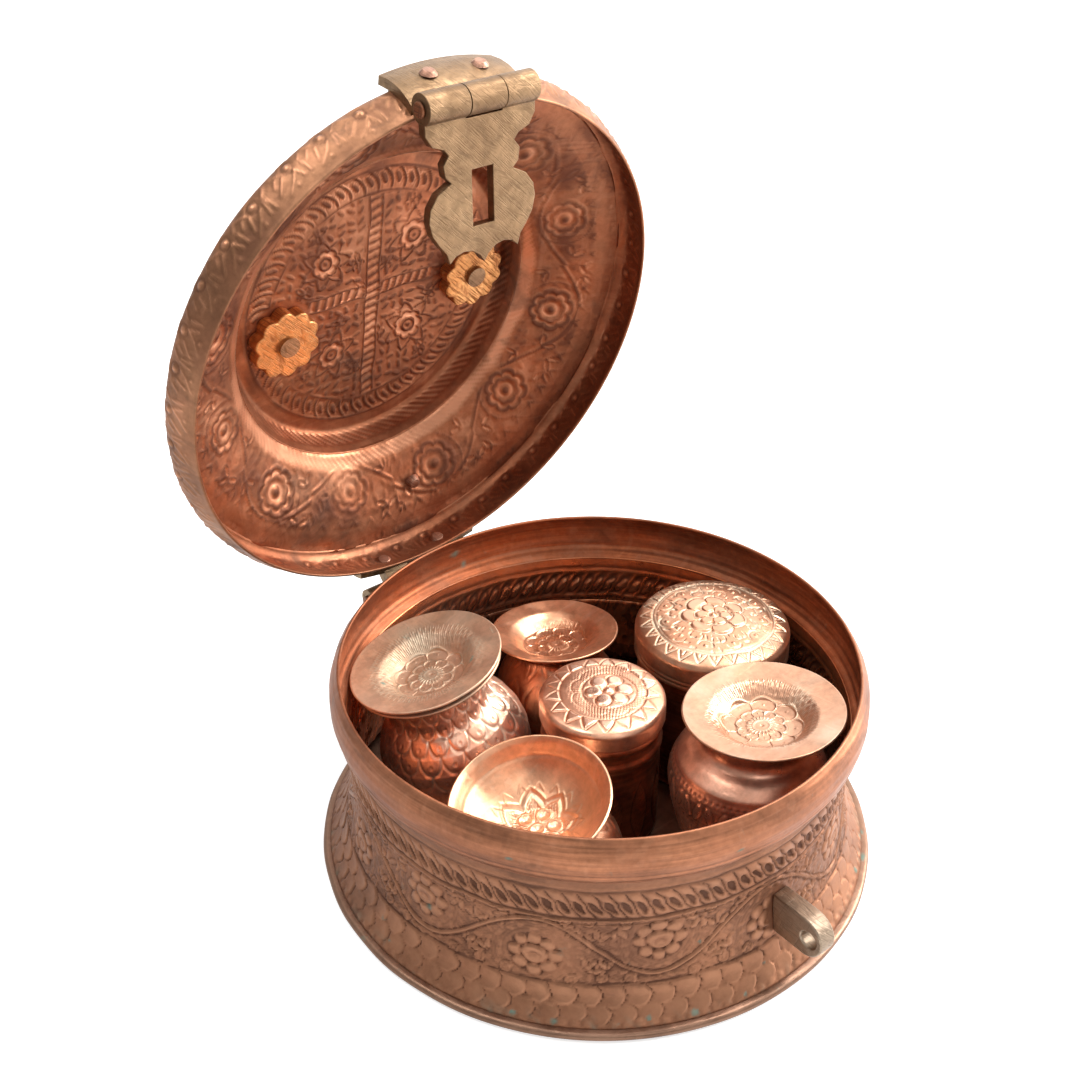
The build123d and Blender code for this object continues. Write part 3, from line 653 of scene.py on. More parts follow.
def beans(th, s, r, z, a, b):
    """The right pot: a band of paired bean petals between dotted lines, pointed tongues below."""
    x = th * 26.0
    width = TAU * 26.0 / 18
    cx = cell(x, width)
    up = z - 36.5
    h = 0.0
    for turn in (-1, 1):
        bean = oval(cx + turn * 2.2 + 0.25 * turn * up, up, 1.7, 4.2)
        h += 0.3 * inside(bean + 0.4, 0.8) - 0.4 * dome(bean, 0.5)
    dots = cell(x, width / 4)
    for level in (30.6, 42.6):
        h -= 0.45 * dome(np.hypot(dots, z - level), 1.0)
        h -= 0.35 * dome(np.abs(z - level) - 1.5, 0.4)
    tongue = np.abs(cell(x, width, 0.5)) - width * 0.42 * np.clip((z - 12) / 16.0, 0, 1)
    h -= (0.35 * dome(tongue, 0.6) - 0.15 * inside(tongue, 0.6)) * between(z, 12, 28.4, 1)
    h -= 0.3 * dome(cell(x, width, 0.5), 0.4) * between(z, 19, 28.4, 1)
    return (h * inside(z - 46, 2) + 0.22 * uneven(a, b, z, 24, 61)) * between(s, 1.5, 76.0, 3.0)


def ridged_tin(th, s, r, z, a, b):
    """Feathered leaves standing round the foot of the centre tin, under its ridges."""
    x = th * 20.9
    width = TAU * 20.9 / 12
    cx = cell(x, width)
    leaf = np.abs(cx) - 3.6 * np.clip(1 - ((z - 17) / 13.5) ** 2, 0, 1)
    h = -0.35 * dome(leaf, 0.5) + 0.2 * inside(leaf, 0.8)
    h -= 0.25 * dome(cell(z - 0.9 * np.abs(cx), 2.2), 0.5) * inside(leaf + 0.4, 0.6)
    return h * between(z, 3, 31, 1.5) + 0.14 * uneven(a, b, z, 22, 62)


def hammered(amount, size, seed):
    """Slow unevenness only."""
    return lambda th, s, r, z, x, y: amount * uneven(x, y, z, size, seed) * inside(2.0 - s, 3.0)


def flower_dish(tiers, hub, fringe, seed, shift=(0.0, 0.0), grains=0.0, line=0.26):
    """A dish chased in fine line: a dot in a ring with short rays, then tiers of petals, each
    tier = (petals, low, high), and a fringe of fine hatching between two radii."""
    def relief(th, s, r, z, x, y):
        wob = uneven(x, y, z, 13, seed)
        u = x - shift[0] + 0.4 * wob
        v = y - shift[1] + 0.4 * wob
        ring = np.hypot(u, v)
        angle = np.arctan2(v, u)
        h = 0.30 * dome(ring, 1.1) - line * dome(ring - hub, 0.45)
        ray = cell(angle, TAU / 22) * ring
        h -= 0.8 * line * dome(ray, 0.35) * between(ring, hub + 0.6, hub + 2.2, 0.5)
        last = hub + 2.2
        for k, (petals, low, high) in enumerate(tiers):
            turn = 0.3 + 0.4 * k
            lob = lobed(u, v, low, high, petals, turn)
            seam = petal_fold(u, v, petals, turn + np.pi / petals)[1]
            h += 0.20 * inside(lob + 0.5, 1.2) * inside(last - ring, 1.0) - line * dome(lob, 0.5)
            h -= 0.7 * line * dome(seam, 0.4) * inside(last - ring, 0.6) * inside(lob + 0.4, 0.4)
            px, py = petal_fold(u, v, petals, turn)
            h -= 0.7 * line * dome(np.hypot(px - 0.5 * (last + high), py), 0.55)
            last = high
        inner, outer = fringe
        hatch = np.maximum(np.cos(2.6 * (x + 0.55 * y)), np.cos(2.6 * (0.6 * x - y)))
        comb = np.cos(130 * th + 1.2 * wob)
        fine = np.clip(0.5 * hatch + 0.5 * comb, 0, 1)
        h -= 0.7 * line * fine * between(ring, inner + 0.9 * wob, outer, 1.2)
        if grains:
            bead = np.cos(x * 3.6 + 2 * wob) * np.cos(y * 3.6 - 2 * wob)
            h += grains * np.clip(bead, 0, 1) * inside(ring - inner, 1.0)
        return h * inside(r - outer - 2.0, 2.0) + 0.13 * uneven(x, y, z, 19, seed + 7) + 0.04 * wob
    return relief


def sunburst_cap(th, s, r, z, x, y):
    """The right tin's cap: a six-lobed flower in two outlines, eyes and curls, a double ring, and
    Vs pointing outwards."""
    wob = uneven(x, y, z, 13, 71)
    u = x + 0.5 * wob
    v = y + 0.5 * wob
    ring = np.hypot(u, v)
    h = 0.55 * dome(ring, 1.2) - 0.40 * dome(ring - 1.9, 0.5)
    for n, low, high, turn, last in ((6, 4.6, 7.0, 0.2, 2.4), (7, 9.4, 12.2, 0.7, 7.2)):
        lob = lobed(u, v, low, high, n, turn)
        seam = petal_fold(u, v, n, turn + np.pi / n)[1]
        h += 0.40 * inside(lob + 0.6, 1.6) * inside(last - ring, 1.0) - 0.42 * dome(lob, 0.6)
        h -= 0.34 * dome(seam, 0.5) * inside(last - ring, 0.6) * inside(lob + 0.4, 0.4)
    qx, qy = petal_fold(u, v, 11, 0.35)
    k = np.mod(which(np.arctan2(v, u) - 0.35, TAU / 11), 2)
    eye = np.hypot(qx - 17.6 - 0.8 * k, qy)
    h += 0.48 * dome(eye, 1.0) - 0.42 * dome(eye - 2.7, 0.55) * inside((qx - 18.4) * (2 * k - 1), 1.5)
    h -= 0.36 * dome(np.hypot(qx - 14.4, np.abs(qy) - 3.4) - 1.6, 0.5) * inside(13.6 - qx, 1.0)
    marks = sown(u, v, 3.4, 4, 1.1, 0.35)
    h -= 0.30 * inside(marks, 0.5) * between(ring, 12.6, 21.4, 0.8) * inside(3.4 - eye, 0.6)
    h += ribs(ring, (-0.46, 22.3, 0.6), (-0.22, 21.2, 0.5))
    vee = cell(th * 25 + 0.5 * wob, TAU * 25 / 27)
    spread = 2.7 - (ring - 22.6) * 0.66
    h -= 0.42 * dome((np.abs(vee) - spread) * 0.85, 0.5) * between(ring, 22.8, 26.9, 0.5)
    h -= 0.28 * dome(vee, 0.4) * between(ring, 22.8, 24.6, 0.5)
    side = inside(z - 10.0, 1.0)
    h = h * (1 - side) + side * 0.10 * wob
    return h + ribs(z, (-0.25, 1.6, 0.6), (-0.25, 3.4, 0.5)) + 0.10 * uneven(x, y, z, 15, 72)


def toothed_cap(th, s, r, z, x, y):
    """The centre tin's cap: a raised flower off its middle on a pricked field, and a border of teeth."""
    wob = uneven(x, y, z, 12, 73)
    u = x - 1.6 + 0.4 * wob
    v = y + 1.4 + 0.4 * wob
    ring = np.hypot(u, v)
    px, py = petal_fold(u, v, 6, 0.5)
    petal = oval(px - 5.5, py, 2.9, 2.7)
    flower = ring - 8.8
    h = 0.44 * inside(petal + 0.2, 1.8) - 0.30 * dome(petal - 0.2, 0.6)
    h = h * inside(2.0 - ring, 0.8) + 0.60 * dome(ring, 1.9) - 0.40 * dome(ring - 2.1, 0.6)
    prick = np.cos(x * 4.4 + 2 * wob) * np.cos(y * 4.4 - 2 * wob)
    h -= 0.22 * np.clip(prick, 0, 1) * between(ring, 9.2, 14.6, 0.8)
    h -= 0.22 * dome(lobed(u, v, 11.6, 13.4, 9, 0.1), 0.5)
    h -= 0.30 * dome(flower - 0.7, 0.5)
    saw = cell(th * 19.0 + 0.5 * wob, TAU * 19.0 / 17)
    spread = 3.4 - (r - 15.6) * 0.72
    tooth = (np.abs(saw) - spread) * 0.8
    h += between(r, 15.4, 20.2, 0.6) * (0.26 * inside(tooth + 0.3, 1.0) - 0.30 * dome(tooth, 0.6))
    h -= 0.3 * dome(r - 15.2, 0.5)
    side = inside(z - 6.0, 0.8)
    return h * (1 - side) + 0.12 * uneven(x, y, z, 13, 74)


def bossed_bowl(th, s, r, z, x, y):
    """The bowl: a pointed star of grains round seven ringed bosses, and a turned line near its rim."""
    wob = uneven(x, y, z, 12, 75)
    u = (x + 0.4 * wob) * 1.10
    v = (y + 0.4 * wob) * 1.10
    ring = np.hypot(u, v)
    lob = pointed(u, v, 10.6, 15.0, 8, 0.2)
    h = 0.26 * dome(lob, 0.9) - 0.20 * dome(np.abs(lob) - 1.2, 0.6)
    px, py = petal_fold(u, v, 6, 0.5)
    boss = np.hypot(px - 6.6, py)
    h += 0.50 * dome(boss, 2.0) - 0.42 * dome(boss - 2.6, 0.6)
    h += 0.55 * dome(ring, 2.2) - 0.42 * dome(ring - 2.6, 0.6)
    grain = np.clip(np.cos(x * 4.3 + wob) * np.cos(y * 4.3 - wob), 0, 1)
    h += 0.22 * grain * inside(lob + 1.0, 0.8) * inside(3.2 - boss, 0.8) * inside(3.4 - ring, 0.8)
    tongue = np.abs(cell(th * 18.0, TAU * 18.0 / 16)) - (18.6 - ring) * 0.7
    h -= 0.16 * dome(tongue, 0.7) * between(ring, 15.6, 18.6, 0.8)
    h += 0.12 * dome(r - 23.4, 0.9)
    return h + 0.22 * uneven(x, y, z, 22, 76)


# ---- materials --------------------------------------------------------------------


class Wire:
    """A shader value that can be reckoned with: each sign makes a Math node."""

    def __init__(self, socket):
        self.socket = socket

    def __add__(self, other):
        return node("Math", {0: self, 1: other}, operation="ADD")

    def __sub__(self, other):
        return node("Math", {0: self, 1: other}, operation="SUBTRACT")

    def __rsub__(self, other):
        return node("Math", {0: other, 1: self}, operation="SUBTRACT")

    def __mul__(self, other):
        return node("Math", {0: self, 1: other}, operation="MULTIPLY")

    def held(self):
        """The same value, kept between 0 and 1 by its own Math node."""
        self.socket.node.use_clamp = True
        return self


def feed(socket, value):
    """Link a wire into the socket, or set a plain value or colour."""
    if isinstance(value, Wire):
        socket.id_data.links.new(value.socket, socket)
    elif socket.type == "RGBA":
        socket.default_value = (*value, 1.0)
    else:
        socket.default_value = value


def node(kind, inputs, out=0, tree=None, **settings):
    """A new node in the tree of its wires, with its inputs linked or set; gives back one output."""
    tree = tree or next(v.socket.id_data for v in inputs.values() if isinstance(v, Wire))
    made = tree.nodes.new("ShaderNode" + kind)
    for key, value in settings.items():
        setattr(made, key, value)
    for key, value in inputs.items():
        feed(made.inputs[key], value)
    return Wire(made.outputs[out])


def greater(a, b):
    """The greater of two values."""
    return node("Math", {0: a, 1: b}, operation="MAXIMUM")


def span(value, low, high, to_low=0.0, to_high=1.0):
    """A value spread from low..high to to_low..to_high, held at the ends."""
    return node("MapRange", {"Value": value, "From Min": low, "From Max": high, "To Min": to_low,
                             "To Max": to_high}, clamp=True)


def blend(factor, a, b, way="MIX"):
    """Colour b over colour a by the factor."""
    return node("Mix", {0: factor, 6: a, 7: b}, out=2, data_type="RGBA", blend_type=way)


def grey(value):
    """A colour with this value in all three channels."""
    return node("CombineColor", {0: value, 1: value, 2: value})


def shaded(colour, value):
    """The colour made lighter or darker by a value about 1."""
    return blend(1.0, colour, grey(value), "MULTIPLY")


def moved(place, offset):
    """Coordinates shifted, so that two noises of one size differ."""
    return node("VectorMath", {0: place, 1: offset}, operation="ADD")


def speckle(vector, scale, detail=3.0, rough=0.55, warp=0.0, stretch=None):
    """Noise on the piece's own coordinates, in metres."""
    if stretch:
        vector = node("Mapping", {"Vector": vector, "Scale": stretch})
    return node("TexNoise", {"Vector": vector, "Scale": scale, "Detail": detail, "Roughness": rough,
                             "Distortion": warp})


def new_group(name, kinds):
    """A shader node group whose first input is Place. kinds gives the names of its other inputs and
    of its outputs, as colours and values. Gives back the tree, its input wires and its output sockets."""
    tree = bpy.data.node_groups.new(name, "ShaderNodeTree")
    tree.interface.new_socket(name="Place", in_out="INPUT", socket_type="NodeSocketVector")
    for way, kind, names in kinds:
        for key in names.split(", "):
            tree.interface.new_socket(name=key, in_out=way, socket_type="NodeSocket" + kind)
    given = {s.name: Wire(s) for s in tree.nodes.new("NodeGroupInput").outputs if s.name}
    return tree, given, tree.nodes.new("NodeGroupOutput").inputs


def old_metal_group():
    """Old chased metal: slow patches of tone, fine mottling, dark or chalky recesses, rubbed ridges,
    dark stains, green salts in low places, fine scratches and pits."""
    tree, given, result = new_group("old metal", [
        ("INPUT", "Color", "Base, Patch, Recess, Rubbed"),
        ("INPUT", "Float", "Relief, Bloom, Recess amount, Rub amount, Patch amount, Stain amount"),
        ("INPUT", "Float", "Green amount, Roughness, Scratch, Seed"),
        ("OUTPUT", "Color", "Color"), ("OUTPUT", "Float", "Roughness, Height, Bare")])
    place = moved(given["Place"], given["Seed"])
    slow = speckle(place, 16.0, 4.0, 0.6, 0.6)
    mid = speckle(place, 75.0, 5.0, 0.62, 0.3)
    fine = speckle(place, 420.0, 4.0, 0.65)
    patch = span(slow * 0.7 + mid * 0.3, 0.42, 0.62)
    colour = blend(patch * given["Patch amount"], given["Base"], given["Patch"])
    colour = shaded(colour, span(mid * 0.5 + fine * 0.5, 0.36, 0.64, 0.78, 1.18))
    relief = given["Relief"] + (mid - 0.5) * 0.5
    low = (span(relief, 0.02, -0.32) * given["Recess amount"]).held()
    colour = blend(low, colour, given["Recess"])
    # rubbed colour on high relief: wear on ridges, and on the lid's crest also a painted highlight
    high = (span(relief, 0.10, 0.45) * given["Rub amount"]).held()
    colour = blend(high, colour, given["Rubbed"])
    far = moved(place, (0.37, 0.11, 0.23))
    stain = span(speckle(far, 34.0, 5.0, 0.62, 0.8), 0.58, 0.70)
    stain = (stain * given["Stain amount"]).held()
    colour = blend(stain, colour, STAIN)
    green = span(speckle(far, 150.0, 4.0, 0.7, 0.4), 0.66, 0.72)
    green = greater((green * given["Green amount"]).held(), given["Bloom"])
    green = (green * span(fine, 0.3, 0.7, 0.55, 1.0)).held()
    colour = blend(green, colour, SALTS)
    thread = span(speckle(place, 260.0, 2.0, 0.5, 0.0, (1.0, 0.06, 1.0)), 0.60, 0.66)
    cross = span(speckle(place, 260.0, 2.0, 0.5, 0.0, (0.06, 1.0, 0.4)), 0.60, 0.66)
    scratch = (greater(thread, cross) * given["Scratch"]).held()
    feed(result["Color"], blend(scratch * 0.35, colour, given["Rubbed"]))
    rough = given["Roughness"] + span(mid, 0.35, 0.65, -0.08, 0.08)
    rough = rough + low * 0.18 + stain * 0.15 - high * 0.08 + green * 0.4
    feed(result["Roughness"], rough.held())
    feed(result["Height"], mid * 0.45 + fine * 0.16 - scratch * 0.14 + green * 0.3)
    feed(result["Bare"], (1.0 - green * 0.9 - stain * 0.35).held())
    return tree


def filed_group():
    """Metal dressed with a coarse file: straight dark strokes in two slants, over slow patches."""
    tree, given, result = new_group("filed metal", [
        ("INPUT", "Color", "Base, Worn, Groove"), ("INPUT", "Float", "Strokes, Roughness, Seed"),
        ("OUTPUT", "Color", "Color"), ("OUTPUT", "Float", "Roughness, Height")])
    place = moved(given["Place"], given["Seed"])
    slow = speckle(place, 42.0, 4.0, 0.6, 0.5)
    fine = speckle(place, 300.0, 4.0, 0.6)
    colour = blend(span(slow, 0.38, 0.62), given["Base"], given["Worn"])
    colour = shaded(colour, span(fine, 0.32, 0.68, 0.80, 1.16))
    one = node("Mapping", {"Vector": place, "Rotation": (0.35, 0.75, 0.3)})
    one = span(speckle(one, 2600.0, 2.0, 0.6, 0.0, (1.0, 0.05, 0.05)), 0.50, 0.66)
    two = node("Mapping", {"Vector": place, "Rotation": (-0.4, -0.9, 0.2)})
    two = span(speckle(two, 1700.0, 2.0, 0.6, 0.0, (0.06, 1.0, 0.06)), 0.56, 0.68)
    cut = (greater(one, two) * given["Strokes"]).held()
    feed(result["Color"], blend(cut, colour, given["Groove"]))
    rough = given["Roughness"] + span(slow, 0.35, 0.65, -0.08, 0.08)
    feed(result["Roughness"], (rough + cut * 0.15).held())
    feed(result["Height"], fine * 0.35 - cut * 0.5)
    return tree


DARK = (0.085, 0.038, 0.024)
STAIN = (0.050, 0.026, 0.018)
SALTS = (0.13, 0.215, 0.17)
OLD_METAL = old_metal_group()
FILED = filed_group()
METALS = {}


def begun(name):
    """A material with its Principled shader at hand."""
    material = bpy.data.materials.new(name)
    METALS[name] = material
    material.use_nodes = True
    tree = material.node_tree
    tree.nodes.clear()
    out = tree.nodes.new("ShaderNodeOutputMaterial")
    shader = tree.nodes.new("ShaderNodeBsdfPrincipled")
    tree.links.new(shader.outputs[0], out.inputs[0])
    return tree, shader


def attribute(tree, name, out="Fac"):
    """A value that the mesh carries at its points."""
    return node("Attribute", {}, out, tree, attribute_name=name)


def own_coordinates(tree):
    """The place on the piece, in metres."""
    return node("TexCoord", {}, "Object", tree)


def dressed(shader, group, values, bump, depth, metallic):
    """The shader fed by a metal group: its colour, roughness, bare metal and a bump."""
    tree = shader.id_data
    made = tree.nodes.new("ShaderNodeGroup")
    made.node_tree = group
    for key, value in values.items():
        feed(made.inputs[key], value)
    out = {s.name: Wire(s) for s in made.outputs}
    feed(shader.inputs["Base Color"], out["Color"])
    feed(shader.inputs["Roughness"], out["Roughness"])
    feed(shader.inputs["Metallic"], out["Bare"] * metallic if "Bare" in out else metallic)
    bumped = node("Bump", {"Height": out["Height"], "Strength": bump, "Distance": depth})
    feed(shader.inputs["Normal"], bumped)


def old_metal(name, base, patch, recess, rubbed, recess_amount, rub, patches, stains, green, rough,
              scratch, seed, bump=0.35, metallic=1.0, inner=None, inner_rough=0.0, streaks=0.0):
    """A material of old chased metal; inner is the tone of a shell's inside, where it differs, and
    streaks the strength of the level lines that a lathe or a cloth leaves."""
    tree, shader = begun(name)
    place = attribute(tree, "own", "Vector")
    if inner:
        facing = attribute(tree, "facing")
        base = blend(facing, base, inner)
        rough = span(facing, 0.0, 1.0, rough, inner_rough)
    if streaks:
        streak = speckle(place, 900.0, 3.0, 0.6, 0.0, (0.03, 0.03, 1.0))
        base = shaded(base, span(streak, 0.34, 0.66, 1.0 - streaks, 1.0 + streaks))
    dressed(shader, OLD_METAL, {
        "Place": place, "Relief": attribute(tree, "relief"), "Bloom": attribute(tree, "bloom"),
        "Base": base, "Patch": patch, "Recess": recess, "Rubbed": rubbed, "Recess amount": recess_amount,
        "Rub amount": rub, "Patch amount": patches, "Stain amount": stains, "Green amount": green,
        "Roughness": rough, "Scratch": scratch, "Seed": seed}, bump, 0.0008, metallic)


def filed_metal(name, base, worn, groove, strokes, rough, seed, bump=0.4):
    """A material of filed or cast metal on a solid piece."""
    tree, shader = begun(name)
    dressed(shader, FILED, {"Place": own_coordinates(tree), "Base": base, "Worn": worn, "Groove": groove,
                            "Strokes": strokes, "Roughness": rough, "Seed": seed}, bump, 0.0006, 1.0)


old_metal("drum_copper", (0.31, 0.138, 0.074), (0.22, 0.098, 0.056), (0.085, 0.036, 0.023),
          (0.44, 0.212, 0.118), 0.75, 0.5, 0.9, 0.30, 0.18, 0.50, 0.25, 0.0, 0.35, metallic=0.85,
          inner=(0.62, 0.185, 0.066), inner_rough=0.32)
old_metal("collar_copper", (0.37, 0.150, 0.076), (0.28, 0.110, 0.058), DARK, (0.60, 0.30, 0.18), 0.5, 0.4,
          0.8, 0.40, 0.22, 0.44, 0.25, 1.3, 0.35, metallic=0.9, inner=(0.42, 0.120, 0.046),
          inner_rough=0.56, streaks=0.22)
old_metal("base_copper", (0.20, 0.105, 0.066), (0.14, 0.072, 0.046), DARK, (0.33, 0.190, 0.125), 0.5, 0.8,
          0.8, 0.4, 0.35, 0.46, 0.7, 2.1, 0.4, metallic=0.85)
# the lid's pale rubbed colour is partly real wear on its ridges and partly a painted highlight along the
# crest, where slope_relief raises the relief
old_metal("lid_copper", (0.36, 0.172, 0.090), (0.27, 0.118, 0.062), (0.105, 0.038, 0.024),
          (0.80, 0.37, 0.21), 0.7, 0.6, 0.9, 0.45, 0.08, 0.46, 0.2, 3.2, 0.4, metallic=0.9,
          inner=(0.39, 0.128, 0.058), inner_rough=0.47)
filed_metal("leaf_brass", (0.30, 0.20, 0.11), (0.22, 0.14, 0.08), (0.10, 0.06, 0.03), 0.5, 0.45, 0.4)
filed_metal("hasp_brass", (0.265, 0.165, 0.090), (0.20, 0.120, 0.064), (0.14, 0.085, 0.048), 0.42, 0.44,
            0.9, 0.5)
filed_metal("staple_brass", (0.40, 0.31, 0.225), (0.28, 0.20, 0.14), (0.12, 0.08, 0.055), 0.5, 0.42, 1.7)
filed_metal("pin_iron", (0.24, 0.13, 0.085), (0.30, 0.12, 0.06), (0.09, 0.05, 0.035), 0.6, 0.5, 2.3)
filed_metal("handle_brass", (0.42, 0.25, 0.14), (0.30, 0.17, 0.095), (0.12, 0.07, 0.04), 0.5, 0.42, 3.1)
filed_metal("washer_brass", (0.80, 0.385, 0.150), (0.64, 0.275, 0.095), (0.36, 0.13, 0.05), 0.80, 0.40, 4.2,
            0.6)
filed_metal("rivet_copper", (0.46, 0.25, 0.17), (0.36, 0.18, 0.12), (0.14, 0.07, 0.05), 0.5, 0.48, 5.1)
old_metal("pot_left_copper", (0.95, 0.58, 0.41), (0.78, 0.38, 0.24), (0.66, 0.50, 0.38), (0.92, 0.60, 0.44),
          0.75, 0.5, 0.8, 0.30, 0.2, 0.38, 0.5, 6.0, metallic=0.92)
old_metal("dish_left_tarnished", (0.66, 0.43, 0.29), (0.52, 0.33, 0.21), (0.50, 0.43, 0.32),
          (0.78, 0.54, 0.40), 0.7, 0.4, 0.9, 0.40, 0.5, 0.54, 0.5, 7.0, 0.5, metallic=0.85)
old_metal("pot_back_copper", (0.60, 0.25, 0.14), (0.44, 0.17, 0.09), (0.50, 0.32, 0.22), (0.76, 0.38, 0.24),
          0.5, 0.4, 0.8, 0.4, 0.2, 0.38, 0.5, 8.0)
old_metal("dish_back_copper", (0.92, 0.50, 0.30), (0.78, 0.37, 0.20), (0.62, 0.28, 0.15),
          (0.95, 0.62, 0.44), 0.7, 0.6, 0.8, 0.25, 0.1, 0.34, 0.6, 9.0, metallic=0.94)
old_metal("tin_right_copper", (0.50, 0.21, 0.11), (0.36, 0.14, 0.075), DARK, (0.70, 0.36, 0.21), 0.5, 0.5,
          0.8, 0.4, 0.25, 0.38, 0.6, 10.0, streaks=0.2)
old_metal("tin_cap_copper", (0.62, 0.32, 0.19), (0.50, 0.23, 0.13), (0.70, 0.62, 0.46), (0.76, 0.44, 0.29),
          0.60, 0.5, 0.8, 0.35, 0.25, 0.38, 0.5, 11.0, metallic=0.92)
old_metal("centre_cap_copper", (0.84, 0.46, 0.30), (0.64, 0.31, 0.19), (0.46, 0.21, 0.125),
          (0.95, 0.66, 0.50), 0.7, 0.7, 0.8, 0.30, 0.15, 0.34, 0.5, 18.0, metallic=0.94)
old_metal("tin_centre_copper", (0.56, 0.23, 0.13), (0.38, 0.14, 0.08), DARK, (0.78, 0.38, 0.23), 0.7, 0.6,
          0.8, 0.5, 0.2, 0.35, 0.5, 12.0, streaks=0.15)
old_metal("pot_right_copper", (0.92, 0.52, 0.37), (0.64, 0.30, 0.19), (0.26, 0.11, 0.07),
          (0.88, 0.50, 0.36), 0.6, 0.6, 0.9, 0.45, 0.12, 0.34, 0.5, 13.0, metallic=0.92)
old_metal("dish_right_copper", (0.58, 0.315, 0.20), (0.48, 0.245, 0.145), (0.74, 0.66, 0.50),
          (0.70, 0.42, 0.28), 0.6, 0.4, 0.8, 0.3, 0.05, 0.36, 0.5, 14.0, metallic=0.9)
old_metal("pot_front_copper", (0.80, 0.40, 0.24), (0.60, 0.26, 0.14), (0.82, 0.60, 0.42),
          (0.92, 0.60, 0.42), 0.6, 0.5, 0.8, 0.3, 0.15, 0.36, 0.5, 15.0)
old_metal("bowl_copper", (0.82, 0.46, 0.28), (0.72, 0.34, 0.18), (0.60, 0.28, 0.14), (0.92, 0.62, 0.42),
          0.35, 0.5, 0.8, 0.2, 0.05, 0.36, 0.5, 16.0, metallic=0.9)
old_metal("cup_copper", (0.46, 0.20, 0.12), (0.30, 0.12, 0.07), DARK, (0.66, 0.34, 0.21), 0.5, 0.5, 0.9,
          0.5, 0.2, 0.38, 0.5, 17.0)


# ---- the drum and its base -----------------------------------------------------------


def on_metal(*centres, grain=4.0):
    """Crusts of green salts: ragged masks about centres (x, y, z, size) on a piece."""
    def tone(p, facing):
        mask = np.zeros(len(p))
        rag = 0.35 * uneven(*p.T, grain, 91) + 0.25 * uneven(*p.T, grain / 3, 92)
        for *centre, size in centres:
            d = np.linalg.norm(p - np.array(centre), axis=1)
            mask = np.maximum(mask, np.clip(2.4 * (0.8 - d / size) + 1.6 * rag * (d < 1.6 * size), 0, 1))
        return mask
    return tone


def specks(*spots):
    """Crusts of green salts round the drum: ragged masks about spots (azimuth in degrees, height,
    size, distance from the axis)."""
    return on_metal(*((out * math.cos(math.radians(a)), out * math.sin(math.radians(a)), z, size)
                      for a, z, size, out in spots))


drum_specks = specks(
    (169, 8.8, 1.3, 92.5), (178.8, 10.3, 1.8, 92), (-168.8, 27.6, 2.0, 87.8), (-177.5, 6.6, 1.2, 94.5),
    (-147, 5.0, 1.2, 96), (-139, 4.6, 1.6, 96), (-127, 4.4, 1.1, 96), (-121, 5.4, 1.5, 95.6),
    (-112, 4.6, 1.9, 96), (-101, 5.0, 1.1, 96), (-95, 10.0, 1.0, 92.4), (-58, 5, 1.6, 95.6),
    (-47, 4, 2.0, 96), (-36, 9, 1.5, 93), (-30, 14, 1.3, 90.8), (-109.5, 27.4, 0.8, 87.8),
    (-174, 44, 0.7, 87.3))


def crusts(p, facing):
    """The drum's specks, and a ragged bloom where it meets its base."""
    low = np.clip((7.5 - p[:, 2]) / 4.0, 0, 1)
    rag = uneven(*p.T, 11, 93) + 0.7 * uneven(*p.T, 3, 94)
    return np.maximum(drum_specks(p, facing), 0.40 * low * np.clip(rag, 0, 1) * (facing < 0.5))


# the drum's wall is two pieces, cut at this share of its profile
SEAM = 0.660
wall_line = traced(WALL_LINE, 0.8)
for name, around, steps, share in (("drum_chased", 960, (0.60, 1.9), (0, SEAM)),
                                   ("drum_band", 1080, (0.50, 0.7), (SEAM, 1))):
    shell(name, "drum_wall", "drum", "drum_copper", wall_line, around, steps, drum_relief, tone=crusts,
          lip=0.04, both=True, share=share)
shell("drum_collar", "drum_wall", "drum", "collar_copper", traced(COLLAR_LINE, 0.35), 360, (0.4, 0.8),
      collar_relief, tone=specks((86, 70, 2.6, 91), (84, 64, 1.8, 91), (-147.8, 68.5, 0.9, 92.6),
                                 (-104, 67.7, 0.8, 92.6), (61.5, 76, 0.9, 89.6)), lip=0.3, slot="drum_copper")


def base_plate(around=360, flat=94):
    """The base: a plate, flat out to a radius, whose edge is rolled over by hand and wavers a little."""
    radius, height, along, *_ = traced(BASE_LINE, 0.25)
    total = along[-1]
    s = np.unique(np.r_[0, np.linspace(6, flat, 12), np.linspace(flat, total - flat, 40),
                        np.linspace(total - flat, total - 6, 12), total])
    th = TAU * np.arange(around) / around
    r = np.interp(s, along, radius)[:, None] + 0 * th
    z = np.interp(s, along, height)[:, None] + 0 * th
    r -= np.clip((r - 93) / 6, 0, 1) * (0.16 + 0.16 * uneven(r * np.cos(th), r * np.sin(th), z, 22, 81))
    waver = uneven(r * np.cos(th), r * np.sin(th), z, 13, 82)
    z += np.clip((r - 97.5) / 2, 0, 1) * (z > 1.6) * (0.12 * waver - 0.12)
    under = s < total / 2 - 3
    z[under] = np.maximum(z[under], 0)
    r[[0, -1]] = 0
    index = np.arange(r.size).reshape(r.shape)
    index[[0, -1]] = index[[0, -1], :1]
    faces, used = woven(index)
    p = np.stack([r * np.cos(th), r * np.sin(th), z], -1).reshape(-1, 3)[used]
    rim = np.clip((np.hypot(p[:, 0], p[:, 1]) - 96) / 3, 0, 1)
    bloom = specks((-52, 3, 2.4, 97), (-45, 3, 1.8, 97))(p, 0)
    ob = built("base_disc", p, unmoved, faces, 0.35 * rim, 0 * rim, bloom, "base_copper")
    ridden(ob, "drum", "base_plate")


base_plate()

